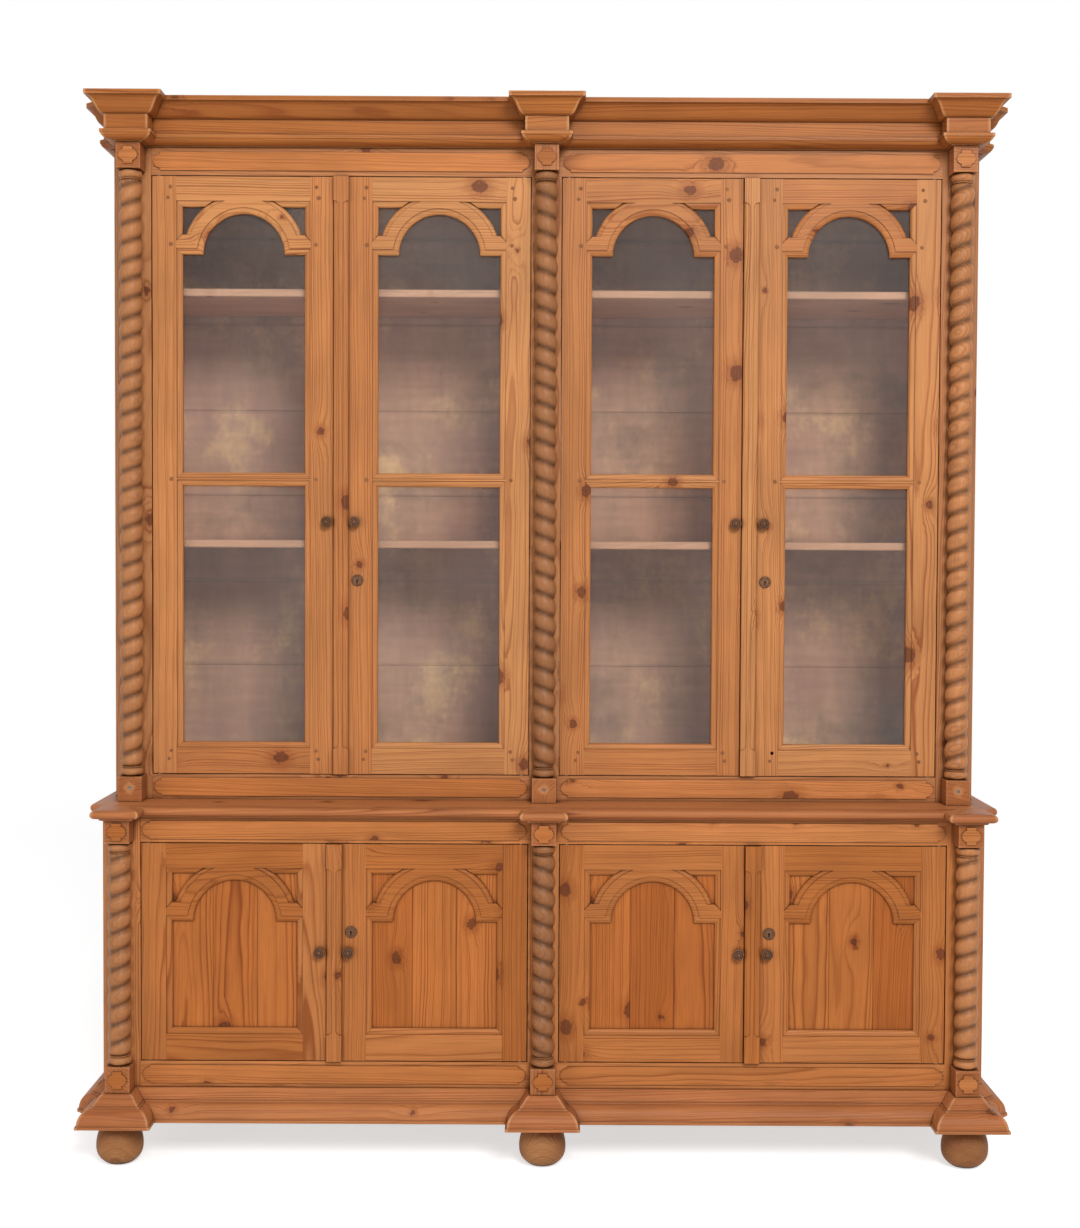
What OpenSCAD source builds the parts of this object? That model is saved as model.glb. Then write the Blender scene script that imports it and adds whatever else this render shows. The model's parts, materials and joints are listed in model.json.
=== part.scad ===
// Antique pine breakfront cabinet: a glazed bookcase standing on a deeper panelled cupboard.
// Three barley-twist columns stand before each case, and the cornice, waist and plinth
// break forward over them. Millimetres. X runs along the front, -Y is the front, Z is up.
// The origin is on the floor, in the middle of the width and of the whole depth.

/* [Cases] */
// Width across the outer faces of the case sides
case_w = 1922; // [1800:2:2100]
// Depth of the upper case, from the door face to the back
upper_depth = 395; // [320:1:480]
// How far the lower case stands in front of the upper one
step_depth = 126; // [100:1:160]
// How far each front corner is cut back, along both sides
cant = 47; // [40:1:56]
// Thickness of the case sides, floors and partitions
board_t = 20; // [16:0.5:24]
// Thickness of the horizontal boards of the backs
back_t = 12; // [9:0.5:16]
// Depth of the front rails and posts
front_t = 26; // [25:0.5:32]
// Width of the corner posts, seen from the front
corner_post_w = 92; // [88:1:100]
// Width of the middle post, seen from the front
middle_post_w = 66; // [60:1:80]

/* [Heights] */
// Height of the bun feet
foot_h = 92; // [70:1:110]
// Height of the moulded plinth
plinth_h = 64; // [56:1:80]
// Height of the rail under the cupboard doors
lower_foot_rail_h = 56; // [50:1:70]
// Height of the opening for the cupboard doors
lower_opening_h = 475; // [420:1:600]
// Height of the rail over the cupboard doors
lower_head_rail_h = 54; // [50:1:70]
// Thickness of the board between the two cases, with the small moulding under its edge
waist_t = 23; // [20:0.5:30]
// Height of the rail under the glazed doors
upper_foot_rail_h = 55; // [50:1:70]
// Height of the opening for the glazed doors
upper_opening_h = 1320; // [1100:1:1500]
// Height of the rail over the glazed doors
upper_head_rail_h = 61; // [56:1:75]
// Height of the bed moulding under the frieze
bed_h = 22; // [18:1:30]
// Height of the plain frieze
frieze_h = 34; // [24:1:50]
// Height of the crown moulding
crown_h = 44; // [36:1:56]

/* [Columns] */
// Width and depth of the square blocks at the ends of the columns
block_w = 53; // [52:0.5:58]
// Distance from the side of the case to the corner blocks
block_inset = 26; // [24:1:32]
// Height of the blocks over the upper columns
upper_cap_h = 56; // [50:1:70]
// Height of the blocks over the lower columns
lower_cap_h = 50; // [44:1:60]
// Diameter over the strands of the twist
twist_d = 51; // [44:0.5:52]
// Diameter at the bottom of the groove
groove_d = 38; // [32:0.5:42]
// Rise of one turn of the upper columns
upper_pitch = 41; // [36:0.5:48]
// Rise of one turn of the lower columns
lower_pitch = 38; // [34:0.5:44]
// Height of the turned bulb at each end of a column
bulb_h = 19; // [14:0.5:24]

/* [Mouldings] */
// How far the cornice stands out from the frieze blocks below it
cornice_out = 56; // [44:1:64]
// How far the frieze stands out
frieze_out = 21; // [14:1:24]
// How far the edge of the waist board stands out
waist_out = 25; // [18:1:30]
// How far the plinth stands out
plinth_out = 53; // [42:1:60]
// How far the cornice and waist mouldings reach in behind the faces they cap
moulding_back = 18; // [14:1:22]
// How far the plinth reaches in behind the faces it carries
plinth_back = 8; // [6:1:12]

/* [Doors] */
// Thickness of the door frames
door_t = 24; // [20:0.5:25]
// Gap round each door and between the doors of a pair
door_gap = 2; // [1.8:0.1:3]
// Width of the plain face of a hinge stile
stile_w = 53; // [44:0.5:60]
// Width of the plain face of a meeting stile beside its cover strip
meeting_w = 49.5; // [42:0.5:56]
// Width of the plain face of a top rail
top_rail_w = 53; // [44:0.5:64]
// Width of the plain face of a bottom rail
bottom_rail_w = 57; // [48:0.5:70]
// Width of the moulding worked on the inner edges
sticking_w = 13; // [9:0.5:15]
// Depth of that moulding below the face
sticking_depth = 8; // [5:0.5:9]
// Width of the plain face of the glazing bar
bar_w = 4; // [3:0.5:10]
// Height of the middle of the glazing bar over the opening
bar_z = 654; // [540:1:800]
// Width of the arched heads with both their mouldings
arch_w = 45; // [38:1:50]
// Distance from the crown of an arch up to the top rail's inner edge
crown_gap = 14.5; // [13:0.5:24]
// Height of the imposts at the feet of the arch
impost_h = 42; // [36:1:50]
// Width of the strip that covers the gap of a pair
strip_w = 33; // [28:0.5:38]
// Thickness of the cover strip
strip_t = 11; // [8:0.5:14]
// Thickness of the window glass
glass_t = 3; // [2:0.5:4]
// Depth of the seat of the glass behind the door face
glass_seat = 14; // [12:0.5:15]
// Thickness of the boards of the cupboard panels
panel_t = 8; // [6:0.5:9]
// Depth of the seat of a panel behind the door face
panel_seat = 10; // [9.5:0.5:12]
// Number of upright boards in a cupboard panel
panel_boards = 3; // [2:1:4]

/* [Fittings] */
// Diameter of the steel pins on which the doors turn
pin_d = 6; // [4:0.5:8]
// Distance from the hinge edge of a door to its pins
pin_inset = 14; // [12:0.5:20]
// Distance from the door face back to its pins
pin_depth = 7; // [5.5:0.5:7.5]
// Radial clearance of a pin in a door
pin_clearance = 0.05; // [0.02:0.01:0.08]
// Diameter of the wooden knobs
knob_d = 24.5; // [20:0.5:28]
// Distance of a knob from the middle of its pair
knob_x = 31; // [30:0.5:36]
// Height of the upper knobs over the opening
upper_knob_z = 561; // [480:1:620]
// Height of the lower knobs over the opening
lower_knob_z = 240; // [180:1:245]
// Diameter of the keyhole plates
keyplate_d = 25; // [22:0.5:28]
// Distance of a keyhole from the middle of its pair
keyhole_x = 36; // [32:0.5:42]
// Height of the upper keyholes over the opening
upper_keyhole_z = 432; // [380:1:500]
// Height of the lower keyholes over the opening
lower_keyhole_z = 282; // [276:1:340]
// How far a lock bolt is thrown
bolt_throw = 8; // [6:0.5:9]

/* [Inside] */
// Thickness of the shelves
shelf_t = 18; // [14:0.5:24]
// Height of the top of the low glazed shelf over the opening
low_shelf_z = 521; // [400:1:620]
// Height of the top of the high glazed shelf over the opening
high_shelf_z = 1078; // [900:1:1180]
// Height of the top of the cupboard shelf over the opening
cupboard_shelf_z = 236; // [160:1:320]
// Width and height of the cleats that carry the shelves
cleat = 20; // [14:1:26]
// Width of the boards of the backs
back_board_w = 205; // [150:1:260]
// Width of the lowest board of the upper back
first_board_w = 70; // [50:1:140]
// Diameter of the bun feet
foot_d = 100; // [84:1:110]
// Diameter of the spigot of a foot
spigot_d = 24; // [16:1:28]

/* [Hidden] */
$fn = 48;

// Clearance between wooden pieces that are let into each other
slack = 0.2;
// Half of the joint line between the pieces of a door, mitred lengths and boards
seam = 0.1;
// Overlap of the parts of one piece of wood that meet on a face or a curve
lap = 0.05;
// Extra length of a cutter past the faces that it opens
over = 1;
// Points on a moulded curve
curve_steps = 8;

// Heights of the main levels
plinth_z = foot_h;
lower_z = plinth_z + plinth_h;
lower_open_z = lower_z + lower_foot_rail_h;
lower_head_z = lower_open_z + lower_opening_h;
waist_z = lower_head_z + lower_head_rail_h;
upper_z = waist_z + waist_t;
upper_open_z = upper_z + upper_foot_rail_h;
upper_head_z = upper_open_z + upper_opening_h;
bed_z = upper_head_z + upper_head_rail_h;
frieze_z = bed_z + bed_h;
crown_z = frieze_z + frieze_h;
top_z = crown_z + crown_h;

// Places across the width
half_w = case_w / 2;
block_x = half_w - block_inset - block_w / 2;
bay_w = half_w - corner_post_w - middle_post_w / 2;
bays = [-middle_post_w / 2 - bay_w, middle_post_w / 2];
column_places = [-block_x, 0, block_x];

// Places through the depth
total_depth = upper_depth + step_depth + block_w + plinth_out;
back_y = total_depth / 2;
upper_y = back_y - upper_depth;
lower_y = upper_y - step_depth;

// How far the canted corners run along the front behind the rails
corner_run = cant - front_t;

// Doors, measured from the left edge of their bay
mid_x = bay_w / 2;
meet_x = mid_x - strip_w / 2 - door_gap / 2;
left_door = [door_gap, meet_x - door_gap / 2];
right_door = [meet_x + door_gap / 2, bay_w - door_gap];
sight_w = left_door[1] - left_door[0] - stile_w - meeting_w - 2 * sticking_w;
left_sight = [left_door[0] + stile_w + sticking_w, left_door[1] - meeting_w - sticking_w];
right_sight = [right_door[1] - stile_w - sticking_w - sight_w, right_door[1] - stile_w - sticking_w];
tenon_t = 7;
tenon_l = 32;
tenon_shoulder = 8;
arch_r = sight_w / 2 - arch_w;
arch_drop = arch_r + crown_gap;

// Lock cases, let in from the back of the stile with the keyhole
lock_w = 66;
lock_h = 56;
lock_t = 11;
bolt_l = 34;
bolt_h = 12;
bolt_t = 5;
keyplate_t = 1.5;

pine = "#c8874f";
pine_dark = "#b06a38";
pine_column = "#a8754b";
pine_inside = "#7e6a5c";
steel = "#6b6660";
bronze = "#7a5a45";

// Paths and mitres

// Direction square to the way from a to b, to its right
function side_of(a, b) = let (v = (b - a) / norm(b - a)) [v[1], -v[0]];

function side_before(path, i, closed) = i > 0 ? side_of(path[i - 1], path[i])
    : closed ? side_of(path[len(path) - 1], path[0]) : side_of(path[0], path[1]);

function side_after(path, i, closed) = i < len(path) - 1 ? side_of(path[i], path[i + 1])
    : closed ? side_of(path[i], path[0]) : side_of(path[i - 1], path[i]);

// Corner i of a path moved out by d, on the mitre line of that corner
function shifted(path, i, d, closed = false) =
    let (a = side_before(path, i, closed), b = side_after(path, i, closed))
    path[i] + d * (a + b) / (1 + a * b);

function outline(path, d) = [for (i = [0:len(path) - 1]) shifted(path, i, d)];

// One mitred length of a moulding along edge i of a path. The profile is a list of
// [distance out from the path, height], and each mitre stands back by the joint.
module mitred_length(path, i, profile, closed = false, joint = 0) {
    j = (i + 1) % len(path);
    run = path[j] - path[i];
    back_off = joint * run / norm(run);
    outs = [for (p = profile) p[0]];
    heights = [for (p = profile) p[1]];
    reach = 2 * max(max(outs), -min(outs)) + over;
    far = max(outs) + over;
    near = min(outs) - over;
    intersection() {
        translate([path[i][0], path[i][1], 0])
            rotate([0, 0, atan2(run[1], run[0])])
                translate([-reach, 0, 0])
                    rotate([90, 0, 90])
                        linear_extrude(height = norm(run) + 2 * reach)
                            polygon([for (p = profile) [-p[0], p[1]]]);
        translate([0, 0, min(heights) - over])
            linear_extrude(height = max(heights) - min(heights) + 2 * over)
                polygon([shifted(path, i, near, closed) + back_off,
                    shifted(path, j, near, closed) - back_off,
                    shifted(path, j, far, closed) - back_off, shifted(path, i, far, closed) + back_off]);
    }
}

module mitred_run(path, profile, closed = false) {
    for (i = [0:len(path) - (closed ? 1 : 2)]) mitred_length(path, i, profile, closed, seam);
}

// Plan of the right half of a case front that breaks forward round the column blocks
function half_plan(face_y) =
    let (x0 = block_x - block_w / 2, x1 = block_x + block_w / 2)
    [[block_w / 2, face_y - block_w], [block_w / 2, face_y], [x0, face_y],
        [x0, face_y - block_w], [x1, face_y - block_w], [x1, face_y + cant - (half_w - x1)],
        [half_w, face_y + cant], [half_w, back_y]];

function case_plan(face_y) =
    let (half = half_plan(face_y), last = len(half) - 1)
    concat([for (i = [0:last]) [-half[last - i][0], half[last - i][1]]], half);

// Curves of the mouldings, as lists of [out, height]

// Quarter ellipse about a centre, from one angle to another
function arc(centre, rx, ry, from, to) =
    [for (i = [0:curve_steps]) let (a = from + (to - from) * i / curve_steps)
        centre + [rx * cos(a), ry * sin(a)]];

// Wave from a up to b, round below and hollow above
function wave(a, b) =
    [for (i = [0:curve_steps]) let (t = i / curve_steps)
        [a[0] + (b[0] - a[0]) * t, a[1] + (b[1] - a[1]) * (t - sin(360 * t) * 0.13)]];

module slab(x, y, z) {
    translate([x[0], y[0], z[0]]) cube([x[1] - x[0], y[1] - y[0], z[1] - z[0]]);
}

// Turns work drawn flat, with depth as -Z, into the plane of a door
module upright() {
    rotate([90, 0, 0]) children();
}

// Screws through the blocks under the upper columns

screw_head_d = 8;
screw_head_h = 4;
screw_d = 4.5;
screw_l = block_w + 12;
slot_w = 1.2;
slot_h = 1.5;

// Countersunk screw along +Z, or the hole for it when grown by the slack
module wood_screw(grow) {
    shank = screw_d + 2 * grow;
    rotate_extrude()
        polygon([[0, -grow], [screw_head_d / 2 + grow, -grow], [screw_head_d / 2 + grow, 0],
            [shank / 2, screw_head_h + grow], [shank / 2, screw_l + grow], [0, screw_l + grow]]);
}

module at_block_screws() {
    for (x = column_places)
        translate([x, upper_y - block_w, upper_z + upper_foot_rail_h * 0.56])
            rotate([-90, 0, 0]) children();
}

// Base

module bun_foot() {
    floor_r = foot_d * 0.17;
    seat_r = foot_d * 0.24;
    widest = foot_h * 0.42;
    low = arc([floor_r, widest], foot_d / 2 - floor_r, widest, -90, 0);
    high = arc([seat_r, widest], foot_d / 2 - seat_r, foot_h - widest, 0, 90);
    rotate_extrude() polygon(concat([[0, 0]], low, high, [[0, foot_h]]));
    translate([0, 0, foot_h - over]) cylinder(d = spigot_d, h = plinth_h * 0.6 + over);
}

foot_places = [for (x = column_places, y = [lower_y - block_w / 2, back_y - foot_d / 2 - 10]) [x, y]];

module bun_feet() {
    color("#8b6640") for (p = foot_places) translate([p[0], p[1], 0]) bun_foot();
}

module plinth_moulding() {
    z = plinth_z;
    fillet = 6.5;
    ovolo_top = 38;
    profile = concat([[-plinth_back, z], [plinth_out, z], [plinth_out, z + fillet]],
        arc([plinth_out * 0.5, z + fillet], plinth_out * 0.44, ovolo_top - fillet, 0, 90),
        [[plinth_out * 0.5, z + ovolo_top + 3], [plinth_out * 0.42, z + ovolo_top + 3],
            [plinth_out * 0.42, z + ovolo_top + 7], [plinth_out * 0.36, z + ovolo_top + 9],
            [plinth_out * 0.2, z + plinth_h - 5], [plinth_out * 0.1, z + plinth_h],
            [-plinth_back, z + plinth_h]]);
    color(pine_dark) mitred_run(case_plan(lower_y), profile);
}

module plinth_bearers() {
    w = block_w / 2 - plinth_back;
    z = [plinth_z, lower_z];
    color(pine_inside) difference() {
        union() {
            for (x = column_places)
                slab([x - w, x + w], [lower_y - block_w + plinth_back, back_y - board_t], z);
            slab([-half_w + plinth_back, half_w - plinth_back], [back_y - board_t, back_y], z);
        }
        for (p = foot_places)
            translate([p[0], p[1], plinth_z - over])
                cylinder(d = spigot_d + 2 * slack, h = plinth_h * 0.6 + over + slack);
    }
}

// Cases

module floor_board(face_y, z) {
    side_in = half_w - board_t;
    back = back_y - back_t;
    translate([0, 0, z[0]])
        linear_extrude(height = z[1] - z[0])
            polygon([[-side_in, face_y + cant], [-side_in + corner_run, face_y + front_t],
                [side_in - corner_run, face_y + front_t], [side_in, face_y + cant],
                [side_in, back], [-side_in, back]]);
}

module uprights(face_y, side_z, partition_z) {
    for (s = [-1, 1])
        slab([s * (half_w - board_t / 2) - board_t / 2, s * (half_w - board_t / 2) + board_t / 2],
            [face_y + cant, back_y], side_z);
    slab([-board_t / 2, board_t / 2], [face_y + front_t, back_y - back_t], partition_z);
}

module back_boards(z, first) {
    edges = concat([z[0]], [for (e = [z[0] + first:back_board_w:z[1] - over]) e], [z[1]]);
    for (i = [0:len(edges) - 2])
        slab([-half_w + board_t, half_w - board_t], [back_y - back_t, back_y],
            [edges[i] + seam, edges[i + 1] - seam]);
}

module posts(face_y, z, middle_z) {
    for (s = [-1, 1])
        translate([0, face_y, z[0]])
            linear_extrude(height = z[1] - z[0])
                polygon([for (p = [[half_w - corner_post_w, 0], [half_w - cant, 0], [half_w, cant],
                    [half_w - board_t, cant], [half_w - board_t - corner_run, front_t],
                    [half_w - corner_post_w, front_t]]) [s * p[0], p[1]]]);
    slab([-middle_post_w / 2, middle_post_w / 2], [face_y, face_y + front_t], middle_z);
}

// Places of the pins across the whole front
pin_places = [for (b = bays, x = [left_door[0] + pin_inset, right_door[1] - pin_inset]) b + x];
pin_seat = 12;
pin_reach = 14;
collar_t = door_gap - 0.3;

module front_rails(face_y, foot_z, head_z) {
    x = half_w - corner_post_w;
    difference() {
        union() {
            slab([-x, x], [face_y, face_y + front_t], foot_z);
            slab([-x, x], [face_y, face_y + front_t], head_z);
        }
        for (p = pin_places, z = [foot_z[1] - pin_seat, head_z[0]])
            translate([p, face_y + pin_depth, z == head_z[0] ? z - over : z])
                cylinder(d = pin_d + 2 * pin_clearance, h = pin_seat + over);
    }
}

// Pair of shelves, with their outer front corners cut to the canted posts
module shelves(face_y, z) {
    front = front_t + 8;
    inner_x = board_t / 2 + slack;
    outer_x = half_w - board_t - slack;
    back = back_y - back_t - slack;
    for (s = [-1, 1])
        translate([0, 0, z - shelf_t])
            linear_extrude(height = shelf_t)
                polygon([for (p = [[inner_x, face_y + front],
                    [outer_x - (cant - front) - slack, face_y + front],
                    [outer_x, face_y + cant + slack], [outer_x, back], [inner_x, back]]) [s * p[0], p[1]]]);
}

module cleats(face_y, z) {
    y = [face_y + cant + 8, back_y - back_t - slack];
    for (x = [-half_w + board_t + cleat / 2, -board_t / 2 - cleat / 2,
        board_t / 2 + cleat / 2, half_w - board_t - cleat / 2])
        slab([x - cleat / 2, x + cleat / 2], y, [z - shelf_t - cleat, z - shelf_t]);
}

module lower_floor() {
    color(pine_inside) floor_board(lower_y, [lower_open_z - board_t, lower_open_z]);
}

module lower_uprights() {
    color(pine_dark) uprights(lower_y, [lower_z, waist_z], [lower_open_z, waist_z]);
}

module lower_back() {
    color(pine_inside) back_boards([lower_z, waist_z], back_board_w);
}

module lower_posts() {
    color(pine) posts(lower_y, [lower_z, waist_z], [lower_open_z, lower_head_z]);
}

module lower_rails() {
    color(pine) front_rails(lower_y, [lower_z, lower_open_z], [lower_head_z, waist_z]);
}

module lower_shelves() {
    color(pine_inside) shelves(lower_y, lower_open_z + cupboard_shelf_z);
}

module waist_board() {
    color(pine) translate([0, 0, waist_z])
        linear_extrude(height = waist_t) polygon(outline(case_plan(lower_y), -moulding_back));
}

module waist_nosing() {
    z = waist_z;
    mould_h = 5;
    nose_r = (waist_t - mould_h) / 2;
    profile = concat([[-moulding_back, z], [waist_out * 0.3, z], [waist_out * 0.42, z + mould_h]],
        arc([waist_out - nose_r, z + mould_h + nose_r], nose_r, nose_r, -90, 90),
        [[-moulding_back, z + waist_t]]);
    color(pine) mitred_run(case_plan(lower_y), profile);
}

module upper_floor_and_top() {
    color(pine_inside) {
        floor_board(upper_y, [upper_open_z - board_t, upper_open_z]);
        floor_board(upper_y, [bed_z - board_t, bed_z]);
    }
}

module upper_uprights() {
    color(pine_dark) uprights(upper_y, [upper_z, bed_z], [upper_open_z, bed_z - board_t]);
}

module upper_back() {
    color(pine_inside) back_boards([upper_z, bed_z], first_board_w);
}

module upper_posts() {
    color(pine) difference() {
        posts(upper_y, [upper_z, bed_z], [upper_open_z, upper_head_z]);
        at_block_screws() wood_screw(slack);
    }
}

module upper_rails() {
    color(pine) difference() {
        front_rails(upper_y, [upper_z, upper_open_z], [upper_head_z, bed_z]);
        at_block_screws() wood_screw(slack);
    }
}

module upper_shelves() {
    color(pine_inside) for (z = [low_shelf_z, high_shelf_z]) shelves(upper_y, upper_open_z + z);
}

module shelf_cleats() {
    color(pine_inside) {
        for (z = [low_shelf_z, high_shelf_z]) cleats(upper_y, upper_open_z + z);
        cleats(lower_y, lower_open_z + cupboard_shelf_z);
    }
}

// Cornice

module cornice_bed() {
    z = bed_z;
    fillet = 7;
    profile = concat([[-moulding_back, z], [frieze_out * 0.3, z]],
        arc([frieze_out * 0.3, z + bed_h - fillet], frieze_out, bed_h - fillet - 2, -90, 0),
        [[frieze_out + 8, z + bed_h - fillet], [frieze_out + 8, z + bed_h],
            [-moulding_back, z + bed_h]]);
    color(pine) mitred_run(case_plan(upper_y), profile);
}

module cornice_frieze() {
    profile = [[-moulding_back, frieze_z], [frieze_out, frieze_z],
        [frieze_out, crown_z], [-moulding_back, crown_z]];
    color(pine) mitred_run(case_plan(upper_y), profile);
}

module cornice_crown() {
    fillet = 10;
    step = 3;
    profile = concat([[-moulding_back, crown_z]],
        wave([frieze_out + 3, crown_z], [cornice_out - step, top_z - fillet]),
        [[cornice_out, top_z - fillet], [cornice_out, top_z], [-moulding_back, top_z]]);
    color(pine) mitred_run(case_plan(upper_y), profile);
}

// Blocks and columns

// A block, with its outer corners filled back to the cant
module block(x, face_y, z) {
    s = sign(x);
    w = block_w / 2;
    behind = cant - (half_w - abs(x) - w);
    plan = x == 0 ? [[-w, 0], [-w, -block_w], [w, -block_w], [w, 0]]
        : [[-w, 0], [-w, -block_w], [w, -block_w], [w, behind], [w - behind, 0]];
    translate([x, face_y, z[0]])
        linear_extrude(height = z[1] - z[0])
            polygon([for (p = plan) [x == 0 ? p[0] : s * p[0], p[1]]]);
}

module column_blocks() {
    color(pine) {
        for (x = column_places) {
            block(x, lower_y, [lower_z, lower_open_z]);
            block(x, lower_y, [waist_z - lower_cap_h, waist_z]);
            block(x, upper_y, [bed_z - upper_cap_h, bed_z]);
        }
        difference() {
            for (x = column_places) block(x, upper_y, [upper_z, upper_open_z]);
            at_block_screws() wood_screw(slack);
        }
    }
}

module block_screws() {
    color(steel) at_block_screws()
        difference() {
            wood_screw(0);
            translate([-screw_head_d, -slot_w / 2, -over]) cube([2 * screw_head_d, slot_w, over + slot_h]);
        }
}

// Barley twist. Rows of points wind up the shaft as helices: the first lies in the
// groove and the others round the strand. Columns of points stand at equal angles.
twist_columns = 10;
row_at = [0, 0.2, 0.5, 0.8];
row_out = [0, 0.7, 1, 0.7];
rows_a_turn = len(row_at);
twist_lead_in = 2;

// Row that first clears the start of the shaft in the column at share u of a turn
function first_row(u) =
    let (hits = [for (q = [0:rows_a_turn - 1]) if (row_at[q] >= 1 - u - 0.001) q])
    len(hits) > 0 ? hits[0] - rows_a_turn : 0;

function turn_of(j) = floor(j / rows_a_turn);

function phase_of(j) = j - rows_a_turn * turn_of(j);

module twist_shaft(length, pitch) {
    turns = floor(length / pitch);
    rise = length / turns;
    n = twist_columns;
    m = rows_a_turn * turns;
    r0 = groove_d / 2;
    r1 = twist_d / 2;
    starts = [for (i = [0:n]) first_row(i / n)];
    points = concat(
        [for (i = [0:n - 1], k = [0:m - 1])
            let (j = starts[i] + k, a = 360 * i / n, r = r0 + (r1 - r0) * row_out[phase_of(j)])
            [r * cos(a), r * sin(a), rise * (turn_of(j) + row_at[phase_of(j)] + i / n)]],
        [for (i = [0:n - 1]) let (a = 360 * i / n) [r0 * cos(a), r0 * sin(a), -twist_lead_in]],
        [for (i = [0:n - 1]) let (a = 360 * i / n) [r0 * cos(a), r0 * sin(a), length + twist_lead_in]]);
    foot = n * m;
    head = foot + n;
    faces = concat(
        [for (i = [0:n - 1])
            let (i2 = (i + 1) % n, s = starts[i] - starts[i + 1])
            for (k = [0:m - 2 - s])
                each [[i * m + k, i2 * m + k + s + 1, i2 * m + k + s],
                    [i * m + k, i * m + k + 1, i2 * m + k + s + 1]]],
        [for (i = [0:n - 1])
            let (i2 = (i + 1) % n, s = starts[i] - starts[i + 1])
            each concat([[foot + i, i2 * m, foot + i2], [foot + i, i * m, i2 * m + s]],
                s > 0 ? [[foot + i, i2 * m + 1, i2 * m]] : [])],
        [for (i = [0:n - 1])
            let (i2 = (i + 1) % n, s = starts[i] - starts[i + 1], a = i * m + m - 1, b = i2 * m + m - 1)
            each concat([[head + i, head + i2, b], [head + i, b, a - s]],
                s > 0 ? [[head + i, a - 1, a]] : [])],
        [[for (i = [0:n - 1]) foot + i], [for (i = [0:n - 1]) head + n - 1 - i]]);
    polyhedron(points, faces, convexity = 10);
}

// Turned bulb at the foot of a column, with the small ring that it carries
ring_h = 3;

module bulb() {
    r = twist_d / 2;
    rotate_extrude()
        polygon(concat([[0, 0], [r * 0.72, 0]],
            arc([r * 0.62, bulb_h / 2], r * 0.38, bulb_h / 2, -75, 75),
            [[r * 0.8, bulb_h], [r * 0.88, bulb_h + ring_h / 2], [r * 0.8, bulb_h + ring_h],
                [groove_d / 2, bulb_h + ring_h], [0, bulb_h + ring_h]]));
}

module column(z, pitch, left_handed) {
    end = bulb_h + ring_h;
    length = z[1] - z[0];
    shaft = length - 2 * end - 2 * twist_lead_in;
    translate([0, 0, z[0]]) {
        bulb();
        translate([0, 0, length]) mirror([0, 0, 1]) bulb();
        translate([0, 0, end + twist_lead_in])
            mirror([left_handed ? 1 : 0, 0, 0]) twist_shaft(shaft, pitch);
    }
}

module columns(face_y, z, pitch) {
    for (x = column_places)
        translate([x, face_y - block_w / 2, 0]) column(z, pitch, x == 0);
}

module upper_columns() {
    color(pine_column) columns(upper_y, [upper_open_z, bed_z - upper_cap_h], upper_pitch);
}

module lower_columns() {
    color(pine_column) columns(lower_y, [lower_open_z, waist_z - lower_cap_h], lower_pitch);
}

// Applied tablets

tablet_t = 3;

// A long strip with a round lobe between two small steps at each end
module rail_tablet(face_y, z) {
    h = 40;
    lobe = h / 2 - 5;
    edge = 5;
    length = bay_w - 2 * edge;
    for (b = bays)
        translate([b + edge, face_y, (z[0] + z[1] - h) / 2])
            upright() linear_extrude(height = tablet_t) union() {
                translate([lobe, 0]) square([length - 2 * lobe, h]);
                for (x = [lobe, length - lobe]) translate([x, h / 2]) circle(r = lobe);
            }
}

module rail_tablets() {
    color(pine) {
        rail_tablet(lower_y, [lower_z, lower_open_z]);
        rail_tablet(lower_y, [lower_head_z, waist_z]);
        rail_tablet(upper_y, [upper_z, upper_open_z]);
        rail_tablet(upper_y, [upper_head_z, bed_z]);
    }
}

// A lobed tablet: two round ears beside an upright strip
module block_tablet(face_y, z) {
    for (x = column_places)
        translate([x, face_y - block_w, (z[0] + z[1]) / 2])
            upright() linear_extrude(height = tablet_t) union() {
                square([block_w * 0.38, block_w * 0.7], center = true);
                for (s = [-1, 1]) translate([s * block_w * 0.15, 0]) circle(d = block_w * 0.46);
            }
}

module block_tablets() {
    color(pine) {
        block_tablet(lower_y, [lower_z, lower_open_z]);
        block_tablet(lower_y, [waist_z - lower_cap_h, waist_z]);
        block_tablet(upper_y, [bed_z - upper_cap_h, bed_z]);
    }
}

// Doors

module door_pins() {
    color(steel)
        for (x = pin_places, c = [[lower_y, lower_open_z, 0], [lower_y, lower_head_z, 1],
            [upper_y, upper_open_z, 0], [upper_y, upper_head_z, 1]])
            translate([x, c[0] + pin_depth, c[1]]) mirror([0, 0, c[2]]) {
                translate([0, 0, -pin_seat]) cylinder(d = pin_d, h = pin_seat + door_gap + pin_reach);
                cylinder(d = 2 * pin_d, h = collar_t);
            }
}

// Section of the moulding worked on the inner edges: [distance from the sight line, -depth]
quirk = 2;
quirk_w = 2.2;

function sticking(seat) =
    let (run = sticking_w - quirk_w)
    concat([[0, -seat]],
        arc([run, -sticking_depth], run, sticking_depth - quirk, 180, 90),
        [[sticking_w + lap, -quirk], [sticking_w + lap, -seat]]);

// Sight lines of the openings, each running anticlockwise as seen from the front
function square_sight(x, z) = [[x[0], z[0]], [x[1], z[0]], [x[1], z[1]], [x[0], z[1]]];

module stick(path, i, seat, closed = false) {
    upright() mitred_length(path, i, sticking(seat), closed);
}

// Sizes of the head of a door: sight edges x, and the levels of the arch over its foot z
function foot_of_arch(z) = z[1] - door_gap - top_rail_w - sticking_w - arch_drop;

// How much narrower the moulding on the outside of an arch is
arch_trim = 2;

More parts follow.
